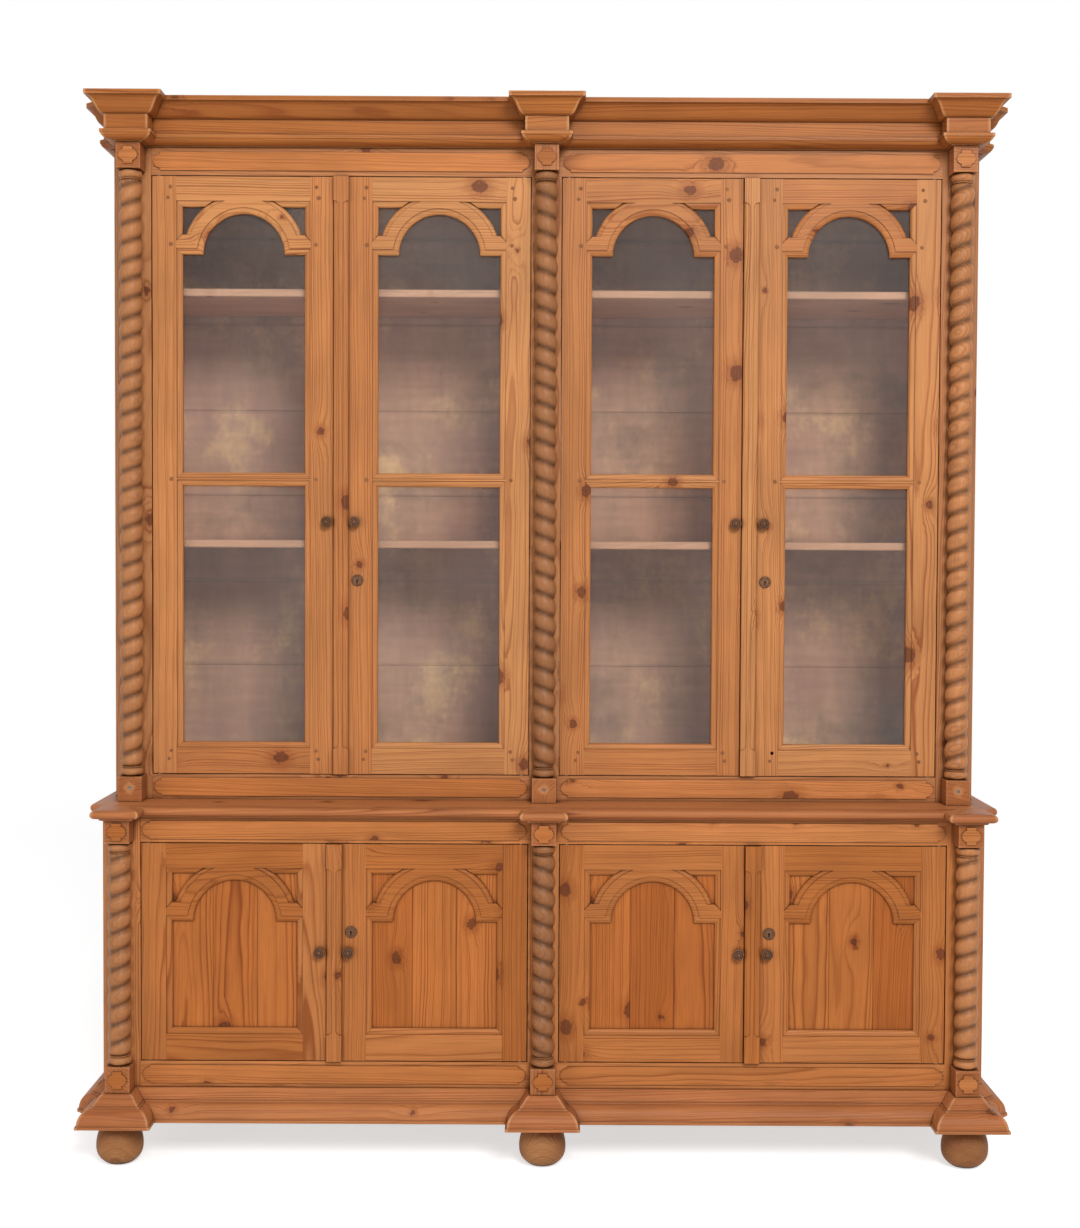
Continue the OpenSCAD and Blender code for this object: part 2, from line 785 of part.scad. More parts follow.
module arched_head(x, z, seat) {
    xc = (x[0] + x[1]) / 2;
    zi = foot_of_arch(z);
    zt = zi + arch_drop;
    r = arch_r;
    big_r = arch_r + arch_w;
    outer_w = sticking_w - arch_trim;
    section = sticking(seat);
    chord = sqrt(big_r * big_r - impost_h * impost_h);
    half = xc - x[0];
    top = arch_drop + sticking_w;
    lead = arch_r + 2 * sticking_w;
    translate([xc, 0, zi]) upright() {
        translate([0, 0, -seat]) linear_extrude(height = seat) union() {
            intersection() {
                difference() {
                    circle(r = big_r - outer_w, $fn = 96);
                    circle(r = r + sticking_w, $fn = 96);
                }
                translate([-big_r, impost_h - lap]) square([2 * big_r, top - impost_h + 2 * lap]);
            }
            difference() {
                polygon([[-half - sticking_w, sticking_w], [-half - sticking_w, impost_h - sticking_w],
                    [-half, impost_h], [-chord, impost_h], [chord, impost_h], [half, impost_h],
                    [half + sticking_w, impost_h - sticking_w], [half + sticking_w, sticking_w]]);
                circle(r = r + sticking_w, $fn = 96);
            }
        }
        intersection() {
            rotate_extrude($fn = 96) polygon([for (p = section) [r + p[0], p[1]]]);
            translate([0, 0, -seat - over]) linear_extrude(height = seat + 2 * over)
                polygon([[r - over, -over - lap], [r + lead, lead - lap], [-r - lead, lead - lap],
                    [-r + over, -over - lap], [0, 0]]);
        }
        intersection() {
            rotate_extrude($fn = 96)
                polygon([for (p = section) [big_r - p[0] * outer_w / sticking_w, p[1]]]);
            translate([-big_r - over, impost_h - lap, -seat - over])
                cube([2 * big_r + 2 * over, top - impost_h + lap, seat + 2 * over]);
        }
    }
    stick([[x[1], zi - over], [x[1], zi], [xc + r, zi], [xc + r, zi + over]], 1, seat);
    stick([[xc - r, zi + over], [xc - r, zi], [x[0], zi], [x[0], zi - over]], 1, seat);
}

// Tenon at the end of a rail, and the mortise that takes it when grown by the slack
module tenon(x, z, grow) {
    slab([x[0] - grow, x[1] + grow],
        [door_t / 2 - tenon_t / 2 - grow, door_t / 2 + tenon_t / 2 + grow], [z[0] - grow, z[1] + grow]);
}

// How much lower than its rail a tenon is, at each edge
function shoulder(level) = level[1] - level[0] > 4 * tenon_shoulder ? tenon_shoulder : 0;

// Levels of the rails of a door, by the faces between the stickings
function rail_levels(z, glazed) = concat(
    [[z[0] + door_gap, z[0] + door_gap + bottom_rail_w], [z[1] - door_gap - top_rail_w, z[1] - door_gap]],
    glazed ? [[z[0] + bar_z - bar_w / 2, z[0] + bar_z + bar_w / 2]] : []);

// Ends of a sight opening up to the foot of the arch, from the rail below it
function sight_levels(z, glazed) =
    let (rails = rail_levels(z, glazed), low = glazed ? rails[2][1] : rails[0][1])
    [low + sticking_w, rails[1][0] - sticking_w];

module rails(x, z, seat, glazed) {
    levels = rail_levels(z, glazed);
    upper = sight_levels(z, glazed);
    in_x = [x[0] - sticking_w, x[1] + sticking_w];
    xc = (x[0] + x[1]) / 2;
    zi = foot_of_arch(z);
    for (i = [0:len(levels) - 1]) {
        slab(in_x, [0, door_t], levels[i]);
        shy = shoulder(levels[i]);
        for (t = [[in_x[0] - tenon_l, in_x[0]], [in_x[1], in_x[1] + tenon_l]])
            tenon(t, [levels[i][0] + shy, levels[i][1] - shy], 0);
    }
    difference() {
        stick(square_sight(x, upper), 2, seat, true);
        translate([xc, 0, zi]) upright() translate([0, 0, -seat - over])
            cylinder(r = arch_r + arch_w - lap, h = seat + 2 * over, $fn = 96);
    }
    stick(square_sight(x, upper), 0, seat, true);
    if (glazed) {
        lower = [levels[0][1] + sticking_w, levels[2][0] - sticking_w];
        stick(square_sight(x, lower), 0, seat, true);
        stick(square_sight(x, lower), 2, seat, true);
    }
}

// Stile on side 0 or 1 of its door, with its stickings
module stile(x, edge, side, z, seat, glazed) {
    levels = rail_levels(z, glazed);
    upper = sight_levels(z, glazed);
    zi = foot_of_arch(z);
    inner = side == 0 ? x[0] - sticking_w : x[1] + sticking_w;
    ends = side == 0 ? [edge, inner] : [inner, edge];
    difference() {
        union() {
            slab(ends, [0, door_t], [z[0] + door_gap, z[1] - door_gap]);
            stick(square_sight(x, [upper[0], zi]), side == 0 ? 3 : 1, seat, true);
            stick(square_sight(x, [zi + impost_h, upper[1]]), side == 0 ? 3 : 1, seat, true);
            if (glazed)
                stick(square_sight(x, [levels[0][1] + sticking_w, levels[2][0] - sticking_w]),
                    side == 0 ? 3 : 1, seat, true);
        }
        for (l = levels) {
            shy = shoulder(l);
            t = side == 0 ? [inner - tenon_l, inner] : [inner, inner + tenon_l];
            tenon(t, [l[0] + shy, l[1] - shy], slack);
        }
    }
}

// Slips that hold the glass or panel from behind
module slips(x, z, front) {
    profile = [[2, -front], [sticking_w - slack, -front], [sticking_w - slack, -door_t], [2, -door_t]];
    upright() mitred_run(square_sight(x, z), profile, true);
}

// Section of the cover strip: a flat between two rounds
function strip_section() =
    let (flat = strip_w * 0.12, c = strip_w / 2, quirk = 1.5, low = strip_t * 0.4)
    concat([[0, 0], [strip_w, 0]],
        arc([c + flat + 1, low], c - flat - 1, strip_t - quirk - low, 0, 90),
        [[c + flat, strip_t - quirk], [c + flat, strip_t],
            [c - flat, strip_t], [c - flat, strip_t - quirk]],
        arc([c - flat - 1, low], c - flat - 1, strip_t - quirk - low, 90, 180));

// Strip that covers the gap of a pair, square at both ends, with tongued stops
module cover_strip(z) {
    x0 = mid_x - strip_w / 2;
    stop = 10;
    flat = strip_w * 0.12;
    c = strip_w / 2;
    low = z[0] + door_gap;
    high = z[1] - door_gap;
    ends = [bottom_rail_w, top_rail_w];
    slab([x0, x0 + strip_w], [-strip_t, 0], [low, low + ends[0]]);
    slab([x0, x0 + strip_w], [-strip_t, 0], [high - ends[1], high]);
    translate([x0, 0, low + ends[0] - lap])
        linear_extrude(height = high - low - ends[0] - ends[1] + 2 * lap)
            polygon([for (p = strip_section()) [p[0], -p[1]]]);
    for (e = [[low + ends[0], 0], [high - ends[1], 1]])
        translate([x0, 0, e[0]]) mirror([0, 0, e[1]]) upright() linear_extrude(height = strip_t)
            polygon(concat([[0, -lap]], arc([0, stop], c - flat, stop, -90, 0),
                arc([strip_w, stop], c - flat, stop, 180, 270), [[strip_w, -lap]]));
}

module at_keyhole(z) {
    translate([mid_x + keyhole_x, 0, z]) children();
}

keyhole_d = 4.5;
keyhole_w = 2.4;
keyhole_l = 7.5;

module keyhole(depth) {
    upright() translate([0, 0, -depth]) {
        cylinder(d = keyhole_d, h = depth + over + strip_t);
        translate([-keyhole_w / 2, -keyhole_l, 0]) cube([keyhole_w, keyhole_l, depth + over + strip_t]);
    }
}

// Height of the keyhole and of the knobs over the opening, in the glazed or cupboard doors
function keyhole_z(z, glazed) = z[0] + (glazed ? upper_keyhole_z : lower_keyhole_z);

function knob_z(z, glazed) = z[0] + (glazed ? upper_knob_z : lower_knob_z);

// Space of a lock case against the meeting edge, grown by the slack for its recess
module lock_space(z, grow) {
    slab([right_door[0] - (grow > 0 ? over : 0), right_door[0] + lock_w + grow],
        [door_t - lock_t - grow, door_t + (grow > 0 ? over : 0)],
        [z - lock_h / 2 - grow, z + lock_h / 2 + grow]);
}

bolt_y = [door_t - lock_t / 2 - bolt_t / 2, door_t - lock_t / 2 + bolt_t / 2];

module bolt_space(x, z, grow) {
    slab(x, [bolt_y[0] - grow, bolt_y[1] + grow], [z - bolt_h / 2 - grow, z + bolt_h / 2 + grow]);
}

spigot = 9;

module knob_hole(x, z) {
    translate([x, -over, z]) rotate([-90, 0, 0]) cylinder(d = spigot + 2 * pin_clearance, h = door_t);
}

module pin_holes(x, z) {
    for (h = [z[0] + door_gap - over, z[1] - door_gap - pin_reach - over])
        translate([x, pin_depth, h]) cylinder(d = pin_d + 2 * pin_clearance, h = pin_reach + 2 * over);
}

// Rails and arch, a joint line short of the stiles
module head_and_rails(x, z, seat, glazed) {
    inner = [x[0] + seam, x[1] - seam];
    rails(inner, z, seat, glazed);
    arched_head(inner, z, seat);
}

// Frame of the left door of a pair, hinged on its left
module left_frame(z, glazed) {
    seat = glazed ? glass_seat : panel_seat;
    stop = keyhole_z(z, glazed);
    head_and_rails(left_sight, z, seat, glazed);
    difference() {
        stile(left_sight, left_door[0], 0, z, seat, glazed);
        pin_holes(left_door[0] + pin_inset, z);
    }
    difference() {
        stile(left_sight, left_door[1], 1, z, seat, glazed);
        knob_hole(mid_x - knob_x, knob_z(z, glazed));
        bolt_space([left_door[1] - bolt_throw, left_door[1] + over], stop, 2 * slack);
    }
    frame_slips(left_sight, z, glazed);
}

// Frame of the right door of a pair, hinged on its right, with the cover strip and the lock
module right_frame(z, glazed) {
    seat = glazed ? glass_seat : panel_seat;
    lock_z = keyhole_z(z, glazed);
    head_and_rails(right_sight, z, seat, glazed);
    difference() {
        stile(right_sight, right_door[1], 1, z, seat, glazed);
        pin_holes(right_door[1] - pin_inset, z);
    }
    difference() {
        stile(right_sight, right_door[0], 0, z, seat, glazed);
        knob_hole(mid_x + knob_x, knob_z(z, glazed));
        lock_space(lock_z, slack);
        at_keyhole(lock_z) keyhole(door_t);
    }
    translate([0, -seam, 0]) cover_strip(z);
    frame_slips(right_sight, z, glazed);
}

module frame_slips(x, z, glazed) {
    levels = rail_levels(z, glazed);
    front = glazed ? glass_seat + glass_t + 2 * slack : panel_seat + panel_t + 2 * slack;
    slips(x, sight_levels(z, glazed), front);
    if (glazed) slips(x, [levels[0][1] + sticking_w, levels[2][0] - sticking_w], front);
}

pane_lap = sticking_w - 4;

module pane(x, z, y, count) {
    w = (x[1] - x[0] + 2 * pane_lap) / count;
    for (i = [0:count - 1])
        slab([x[0] - pane_lap + i * w + seam, x[0] - pane_lap + (i + 1) * w - seam],
            y, [z[0] - pane_lap, z[1] + pane_lap]);
}

module glass_of(x) {
    z = upper_span;
    levels = rail_levels(z, true);
    y = [glass_seat + slack, glass_seat + slack + glass_t];
    pane(x, sight_levels(z, true), y, 1);
    pane(x, [levels[0][1] + sticking_w, levels[2][0] - sticking_w], y, 1);
}

module panel_of(x) {
    pane(x, sight_levels(lower_span, false),
        [panel_seat + slack, panel_seat + slack + panel_t], panel_boards);
}

// Turned knob: a flat foot, a thin neck, a rounded face, and the spigot that holds it
knob_l = 24;
knob_foot_t = 2.5;
knob_neck = [4, 9];
knob_face_t = 7;
spigot_l = 20;

module knob() {
    r = knob_d / 2;
    neck = r * 0.48;
    foot = r * 0.72;
    rotate([90, 0, 0]) {
        rotate_extrude()
            polygon(concat([[0, 0], [foot, 0], [foot, knob_foot_t],
                [neck, knob_neck[0]], [neck, knob_neck[1]]],
                arc([r * 0.4, knob_l - knob_face_t], r * 0.6, knob_face_t, -65, 90), [[0, knob_l]]));
        translate([0, 0, -spigot_l]) cylinder(d = spigot, h = spigot_l + knob_neck[0]);
    }
}

module lock_case(z) {
    difference() {
        lock_space(z, 0);
        bolt_space([right_door[0] - over, right_door[0] + bolt_l + 2], z, slack);
        at_keyhole(z) keyhole(door_t + over);
    }
    at_keyhole(z) difference() {
        upright() cylinder(d = keyplate_d, h = keyplate_t);
        keyhole(door_t);
    }
}

upper_span = [upper_open_z, upper_head_z];
lower_span = [lower_open_z, lower_head_z];

module in_upper(bay) {
    translate([bays[bay], upper_y, 0]) children();
}

module in_lower(bay) {
    translate([bays[bay], lower_y, 0]) children();
}

module knob_at(x, z) {
    translate([x, 0, z]) knob();
}

module bolt_at(z) {
    bolt_space([right_door[0] + 0.5, right_door[0] + bolt_l], z, 0);
}

module glazed_door_1() { color(pine) in_upper(0) left_frame(upper_span, true); }
module glazed_door_2() { color(pine) in_upper(0) right_frame(upper_span, true); }
module glazed_door_3() { color(pine) in_upper(1) left_frame(upper_span, true); }
module glazed_door_4() { color(pine) in_upper(1) right_frame(upper_span, true); }
module door_glass_1() { color("lightblue", 0.35) in_upper(0) glass_of(left_sight); }
module door_glass_2() { color("lightblue", 0.35) in_upper(0) glass_of(right_sight); }
module door_glass_3() { color("lightblue", 0.35) in_upper(1) glass_of(left_sight); }
module door_glass_4() { color("lightblue", 0.35) in_upper(1) glass_of(right_sight); }
module glazed_knob_1() { color(bronze) in_upper(0) knob_at(mid_x - knob_x, knob_z(upper_span, true)); }
module glazed_knob_2() { color(bronze) in_upper(0) knob_at(mid_x + knob_x, knob_z(upper_span, true)); }
module glazed_knob_3() { color(bronze) in_upper(1) knob_at(mid_x - knob_x, knob_z(upper_span, true)); }
module glazed_knob_4() { color(bronze) in_upper(1) knob_at(mid_x + knob_x, knob_z(upper_span, true)); }
module glazed_lock_2() { color(bronze) in_upper(0) lock_case(keyhole_z(upper_span, true)); }
module glazed_lock_4() { color(bronze) in_upper(1) lock_case(keyhole_z(upper_span, true)); }
module glazed_bolt_2() { color(steel) in_upper(0) bolt_at(keyhole_z(upper_span, true)); }
module glazed_bolt_4() { color(steel) in_upper(1) bolt_at(keyhole_z(upper_span, true)); }
module cupboard_door_1() { color(pine_dark) in_lower(0) left_frame(lower_span, false); }
module cupboard_door_2() { color(pine_dark) in_lower(0) right_frame(lower_span, false); }
module cupboard_door_3() { color(pine_dark) in_lower(1) left_frame(lower_span, false); }
module cupboard_door_4() { color(pine_dark) in_lower(1) right_frame(lower_span, false); }
module door_panel_1() { color(pine) in_lower(0) panel_of(left_sight); }
module door_panel_2() { color(pine) in_lower(0) panel_of(right_sight); }
module door_panel_3() { color(pine) in_lower(1) panel_of(left_sight); }
module door_panel_4() { color(pine) in_lower(1) panel_of(right_sight); }
module cupboard_knob_1() { color(bronze) in_lower(0) knob_at(mid_x - knob_x, knob_z(lower_span, false)); }
module cupboard_knob_2() { color(bronze) in_lower(0) knob_at(mid_x + knob_x, knob_z(lower_span, false)); }
module cupboard_knob_3() { color(bronze) in_lower(1) knob_at(mid_x - knob_x, knob_z(lower_span, false)); }
module cupboard_knob_4() { color(bronze) in_lower(1) knob_at(mid_x + knob_x, knob_z(lower_span, false)); }
module cupboard_lock_2() { color(bronze) in_lower(0) lock_case(keyhole_z(lower_span, false)); }
module cupboard_lock_4() { color(bronze) in_lower(1) lock_case(keyhole_z(lower_span, false)); }
module cupboard_bolt_2() { color(steel) in_lower(0) bolt_at(keyhole_z(lower_span, false)); }
module cupboard_bolt_4() { color(steel) in_lower(1) bolt_at(keyhole_z(lower_span, false)); }

bun_feet();
plinth_moulding();
plinth_bearers();
lower_floor();
lower_uprights();
lower_back();
lower_posts();
lower_rails();
lower_shelves();
waist_board();
waist_nosing();
upper_floor_and_top();
upper_uprights();
upper_back();
upper_posts();
upper_rails();
upper_shelves();
shelf_cleats();
cornice_bed();
cornice_frieze();
cornice_crown();
column_blocks();
upper_columns();
lower_columns();
rail_tablets();
block_tablets();
block_screws();
door_pins();
glazed_door_1();
glazed_door_2();
glazed_door_3();
glazed_door_4();
door_glass_1();
door_glass_2();
door_glass_3();
door_glass_4();
glazed_knob_1();
glazed_knob_2();
glazed_knob_3();
glazed_knob_4();
glazed_lock_2();
glazed_lock_4();
glazed_bolt_2();
glazed_bolt_4();
cupboard_door_1();
cupboard_door_2();
cupboard_door_3();
cupboard_door_4();
door_panel_1();
door_panel_2();
door_panel_3();
door_panel_4();
cupboard_knob_1();
cupboard_knob_2();
cupboard_knob_3();
cupboard_knob_4();
cupboard_lock_2();
cupboard_lock_4();
cupboard_bolt_2();
cupboard_bolt_4();
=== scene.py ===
# %% [markdown]
# # An old pine breakfront cabinet
# A glazed bookcase on a panelled cupboard, with barley-twist columns. The solids come from
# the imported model, which is the fixed frame: they have the sizes, the joints and the places.
# This lesson gives them the look of waxed pine that is well over a hundred years old.
# Everything is in metres, X to the right, Z up, and the front looks along -Y.

# %% Load the fixed frame
import json
import math
import bmesh
import bpy
import numpy as np
from mathutils import Matrix, Vector

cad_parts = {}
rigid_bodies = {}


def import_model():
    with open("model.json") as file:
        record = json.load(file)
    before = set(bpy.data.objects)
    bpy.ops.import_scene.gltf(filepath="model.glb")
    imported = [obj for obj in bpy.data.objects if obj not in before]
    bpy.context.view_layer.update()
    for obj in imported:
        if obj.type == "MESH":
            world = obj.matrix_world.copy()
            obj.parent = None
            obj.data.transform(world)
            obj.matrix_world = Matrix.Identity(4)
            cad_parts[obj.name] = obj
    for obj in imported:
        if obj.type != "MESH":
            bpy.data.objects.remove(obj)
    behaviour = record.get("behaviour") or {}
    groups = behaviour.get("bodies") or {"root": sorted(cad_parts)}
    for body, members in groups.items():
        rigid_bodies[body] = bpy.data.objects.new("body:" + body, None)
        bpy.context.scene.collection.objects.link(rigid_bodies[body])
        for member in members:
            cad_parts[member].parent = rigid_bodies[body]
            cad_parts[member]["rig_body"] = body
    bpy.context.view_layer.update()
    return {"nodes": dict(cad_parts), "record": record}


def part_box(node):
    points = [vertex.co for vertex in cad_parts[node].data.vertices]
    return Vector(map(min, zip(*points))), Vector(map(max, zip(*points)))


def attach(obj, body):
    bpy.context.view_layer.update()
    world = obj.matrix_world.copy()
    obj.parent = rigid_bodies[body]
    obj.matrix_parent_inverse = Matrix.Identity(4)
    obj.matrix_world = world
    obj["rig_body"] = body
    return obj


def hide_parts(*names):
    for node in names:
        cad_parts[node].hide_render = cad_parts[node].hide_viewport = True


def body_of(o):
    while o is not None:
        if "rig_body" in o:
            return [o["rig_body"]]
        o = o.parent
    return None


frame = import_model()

NODES = frame["nodes"]
SLOTS = {part["node"]: part["material_slot"] for part in frame["record"]["subparts"]}
BODIES = {name: body_of(node)[0] for name, node in NODES.items()}

# %% [markdown]
# ## The camera
# The photograph was taken about four metres away, just left of the middle and 1.3 metres above
# the floor. A pinhole camera fitted to forty corners of the cabinet gave the numbers. The
# picture is 1080 wide and 1228 high, so the lens is given for the height.

# %% Place the camera
CAMERA_PLACE = Vector((-0.01213, -4.1328, 1.31504))
PITCH, YAW, ROLL = 0.03372, 0.00044, 0.00484

camera_data = bpy.data.cameras.new("photo camera")
camera_data.sensor_fit = "VERTICAL"
camera_data.sensor_height = 36
camera_data.lens = 53.667
camera_data.clip_end = 60
camera = bpy.data.objects.new("photo camera", camera_data)
bpy.context.scene.collection.objects.link(camera)
turn = (Matrix.Rotation(-YAW, 4, "Z") @ Matrix.Rotation(math.pi / 2 - PITCH, 4, "X")
        @ Matrix.Rotation(ROLL, 4, "Z"))
camera.matrix_world = Matrix.Translation(CAMERA_PLACE) @ turn
bpy.context.scene.camera = camera
print("camera", tuple(camera.location), "lens", camera_data.lens)

# %% [markdown]
# ## Helpers for materials
# Colours are written as people read them, as hex values, and turned to linear light by one
# function. One function adds a node, sets its properties and fills or links its inputs, and
# gives back its output, so that a material reads from top to bottom. The inputs of a finished
# shader are filled or linked in the same way.

# %% Colour and node helpers
def linear(hex_colour):
    channels = [int(hex_colour[i:i + 2], 16) / 255 for i in (1, 3, 5)]
    return tuple(c / 12.92 if c <= 0.04045 else ((c + 0.055) / 1.055) ** 2.4
                 for c in channels) + (1.0,)


def fill(tree, node, inputs):
    """Links inputs of a node to the sockets given for them, or sets them to the values."""
    for key, value in inputs.items():
        if isinstance(value, bpy.types.NodeSocket):
            tree.links.new(value, node.inputs[key])
        else:
            node.inputs[key].default_value = value


def add(tree, kind, inputs=None, out=0, **settings):
    """Adds a node with these properties and inputs, and gives back one of its outputs.

    A kind without the word Node in it is a shader node: "Math" is short for "ShaderNodeMath".
    """
    node = tree.nodes.new(kind if "Node" in kind else "ShaderNode" + kind)
    for name, value in settings.items():
        setattr(node, name, value)
    fill(tree, node, inputs or {})
    return node.outputs[out] if node.outputs else None


def new_material(name):
    material = bpy.data.materials.new(name)
    material.use_nodes = True
    tree = material.node_tree
    shader = tree.nodes["Principled BSDF"]
    return material, tree, shader


# %% [markdown]
# ## Light, floor and background
# The photograph is lit softly from the front, a little from the right and from above: the knobs
# and the strands of the twist have their shade on the left. A large lamp does that, a weak one
# lightens the left, and the world fills in. The white of the background is only for the camera
# and for rays that come by a mirror or through glass, so it adds no light to the wood, and the
# floor keeps the shadow of the cabinet.

# %% Lamps
def soft_lamp(name, place, target, size, power):
    data = bpy.data.lights.new(name, "AREA")
    data.shape = "RECTANGLE"
    data.size, data.size_y = size
    data.energy = power
    lamp = bpy.data.objects.new(name, data)
    bpy.context.scene.collection.objects.link(lamp)
    lamp.location = place
    lamp.rotation_euler = (Vector(target) - Vector(place)).to_track_quat("-Z", "Y").to_euler()
    return lamp


soft_lamp("window light", (1.5, -6.4, 4.6), (0.0, -0.2, 1.15), (2.2, 2.2), 400)
soft_lamp("bounce light", (-3.4, -3.6, 1.7), (0.0, -0.2, 1.1), (2.6, 2.6), 45)

# %% World and floor
world = bpy.data.worlds.new("white studio")
bpy.context.scene.world = world
world.use_nodes = True
sky = world.node_tree
sky.nodes.clear()
LIGHT_OF_STUDIO = 0.38


def seen_directly(tree):
    """1 for camera, mirror and glass rays, 0 for the rays that light the object."""
    rays = add(tree, "LightPath").node.outputs
    first = add(tree, "Math", {0: rays["Is Camera Ray"], 1: rays["Is Glossy Ray"]},
                operation="MAXIMUM")
    return add(tree, "Math", {0: first, 1: rays["Is Transmission Ray"]}, operation="MAXIMUM")


strength = add(sky, "MapRange",
               {"Value": seen_directly(sky), "To Min": LIGHT_OF_STUDIO, "To Max": 1.0})
background = add(sky, "Background", {"Color": linear("#ffffff"), "Strength": strength})
add(sky, "OutputWorld", {"Surface": background})

floor_mesh = bpy.data.meshes.new("studio floor")
FLOOR_HALF = 9.0
floor_mesh.from_pydata([(x * FLOOR_HALF, y * FLOOR_HALF, 0)
                        for x, y in ((-1, -1), (1, -1), (1, 1), (-1, 1))], [], [(0, 1, 2, 3)])
studio_floor = bpy.data.objects.new("studio floor", floor_mesh)
bpy.context.scene.collection.objects.link(studio_floor)
paper, tree, shader = new_material("matt white paper")
glow = add(tree, "MapRange", {"Value": seen_directly(tree), "To Max": 0.62})
fill(tree, shader, {"Base Color": linear("#e6e6e6"), "Roughness": 0.9,
                    "Emission Color": linear("#ffffff"), "Emission Strength": glow})
floor_mesh.materials.append(paper)
print("studio floor", 2 * FLOOR_HALF, "m wide")

# %% [markdown]
# ## Taking the boards apart
# Each wooden node holds several boards as loose triangles. Wood looks right only if each board
# has its own grain, so the triangles are welded and parted again into closed boards. Then a
# fine bevel breaks the sharp edges, as a century of hands does, and catches the light.

# %% Weld a node and part its boards
def read(items, name, width=1, kind=float):
    """One property of all vertices, edges, faces or corners of a mesh, as an array."""
    values = np.empty(len(items) * width, dtype=kind)
    items.foreach_get(name, values)
    return values if width == 1 else values.reshape(-1, width)


def grouped(count, pairs):
    """For each of so many things the leader of its group. A pair belongs to one group."""
    leader = list(range(count))

    def head(i):
        while leader[i] != i:
            leader[i] = leader[leader[i]]
            i = leader[i]
        return i

    for a, b in pairs:
        leader[head(a)] = head(b)
    return np.array([head(i) for i in range(count)])


def welded(node):
    """Vertices and triangles of a CAD node, each board with vertices of its own."""
    mesh = node.data
    corners = read(mesh.vertices, "co", 3)
    mesh.calc_loop_triangles()
    triangles = read(mesh.loop_triangles, "vertices", 3, int)
    places, index = np.unique(np.round(corners, 7), axis=0, return_inverse=True)
    triangles = index.reshape(-1)[triangles]
    a, b, c = triangles.T
    triangles = triangles[(a != b) & (b != c) & (c != a)]
    edges = {}
    for number, (a, b, c) in enumerate(triangles.tolist()):
        for edge in ((a, b), (b, c), (c, a)):
            edges.setdefault((min(edge), max(edge)), []).append(number)
    board = grouped(len(triangles), (sharing for sharing in edges.values() if len(sharing) == 2))
    keys = np.stack([np.repeat(board, 3), triangles.reshape(-1)], axis=1)
    unique, again = np.unique(keys, axis=0, return_inverse=True)
    return places[unique[:, 1]], again.reshape(-1, 3)


def evaluated(maker):
    """The plain mesh that an object's modifiers make; the object is removed."""
    graph = bpy.context.evaluated_depsgraph_get()
    mesh = bpy.data.meshes.new_from_object(maker.evaluated_get(graph), depsgraph=graph,
                                           preserve_all_data_layers=True)
    bpy.data.objects.remove(maker)
    return mesh


def linked(name, mesh):
    thing = bpy.data.objects.new(name, mesh)
    bpy.context.scene.collection.objects.link(thing)
    return thing


ONE_FACE = math.radians(0.2)
SHARP_EDGE = math.radians(38)
BENT_EDGE = math.radians(30)
THIN_CORNER = math.radians(25)


def softened(node, edge):
    """A welded copy of a node, its edges rounded by this width where there is room for it."""
    points, triangles = welded(node)
    raw = bpy.data.meshes.new("raw boards")
    raw.from_pydata(points.tolist(), [], triangles.tolist())
    raw.shade_smooth()
    maker = linked("raw boards", raw)
    flat = maker.modifiers.new("whole faces", "DECIMATE")
    flat.decimate_type = "DISSOLVE"
    flat.angle_limit = ONE_FACE
    whole = evaluated(maker)

    # A short edge or a thin corner has no room for the round, and would throw spikes
    draft = bmesh.new()
    draft.from_mesh(whole)
    weight = draft.edges.layers.float.new("bevel_weight_edge")
    room = max(0.003, 2.2 * edge)
    tight = {end for line in draft.edges if line.calc_length() < room for end in line.verts}
    tight |= {turn.vert for face in draft.faces
              for turn in face.loops if turn.calc_angle() < THIN_CORNER}
    for line in draft.edges:
        if len(line.link_faces) == 2:
            bend, roomy = line.calc_face_angle(), not tight.intersection(line.verts)
            line[weight] = float(roomy and bend > SHARP_EDGE)
            line.smooth = roomy or bend < BENT_EDGE
    draft.to_mesh(whole)
    draft.free()

    maker = linked("worn boards", whole)
    worn = maker.modifiers.new("worn edges", "BEVEL")
    worn.width = edge
    worn.segments = 2
    worn.limit_method = "WEIGHT"
    worn.use_clamp_overlap = False
    worn.harden_normals = True
    return evaluated(maker)


# %% [markdown]
# ## The grain of each board
# A board is sawn from a log, and its growth rings are shells round the pith of that log. So
# every board gets a place in an imagined log: the first number runs along the grain, and
# the distance of the other two from zero is the distance from the pith. The shader then draws
# rings on all faces, and end grain, mouldings and cathedrals come out by themselves. The
# grain runs where the faces of a board look least, which the areas of its faces tell.

# %% Mark the boards
def islands(mesh):
    """For each vertex the first vertex of its board."""
    leaders = grouped(len(mesh.vertices), read(mesh.edges, "vertices", 2, int).tolist())
    _, first, own = np.unique(leaders, return_index=True, return_inverse=True)
    return first[own]


def mark(mesh, name, values):
    """Writes one number, or three, on each vertex of a mesh."""
    kind, field = ("FLOAT_VECTOR", "vector") if values.ndim == 2 else ("FLOAT", "value")
    layer = mesh.attributes.new(name, kind, "POINT")
    layer.data.foreach_set(field, values.reshape(-1).astype(np.float32))


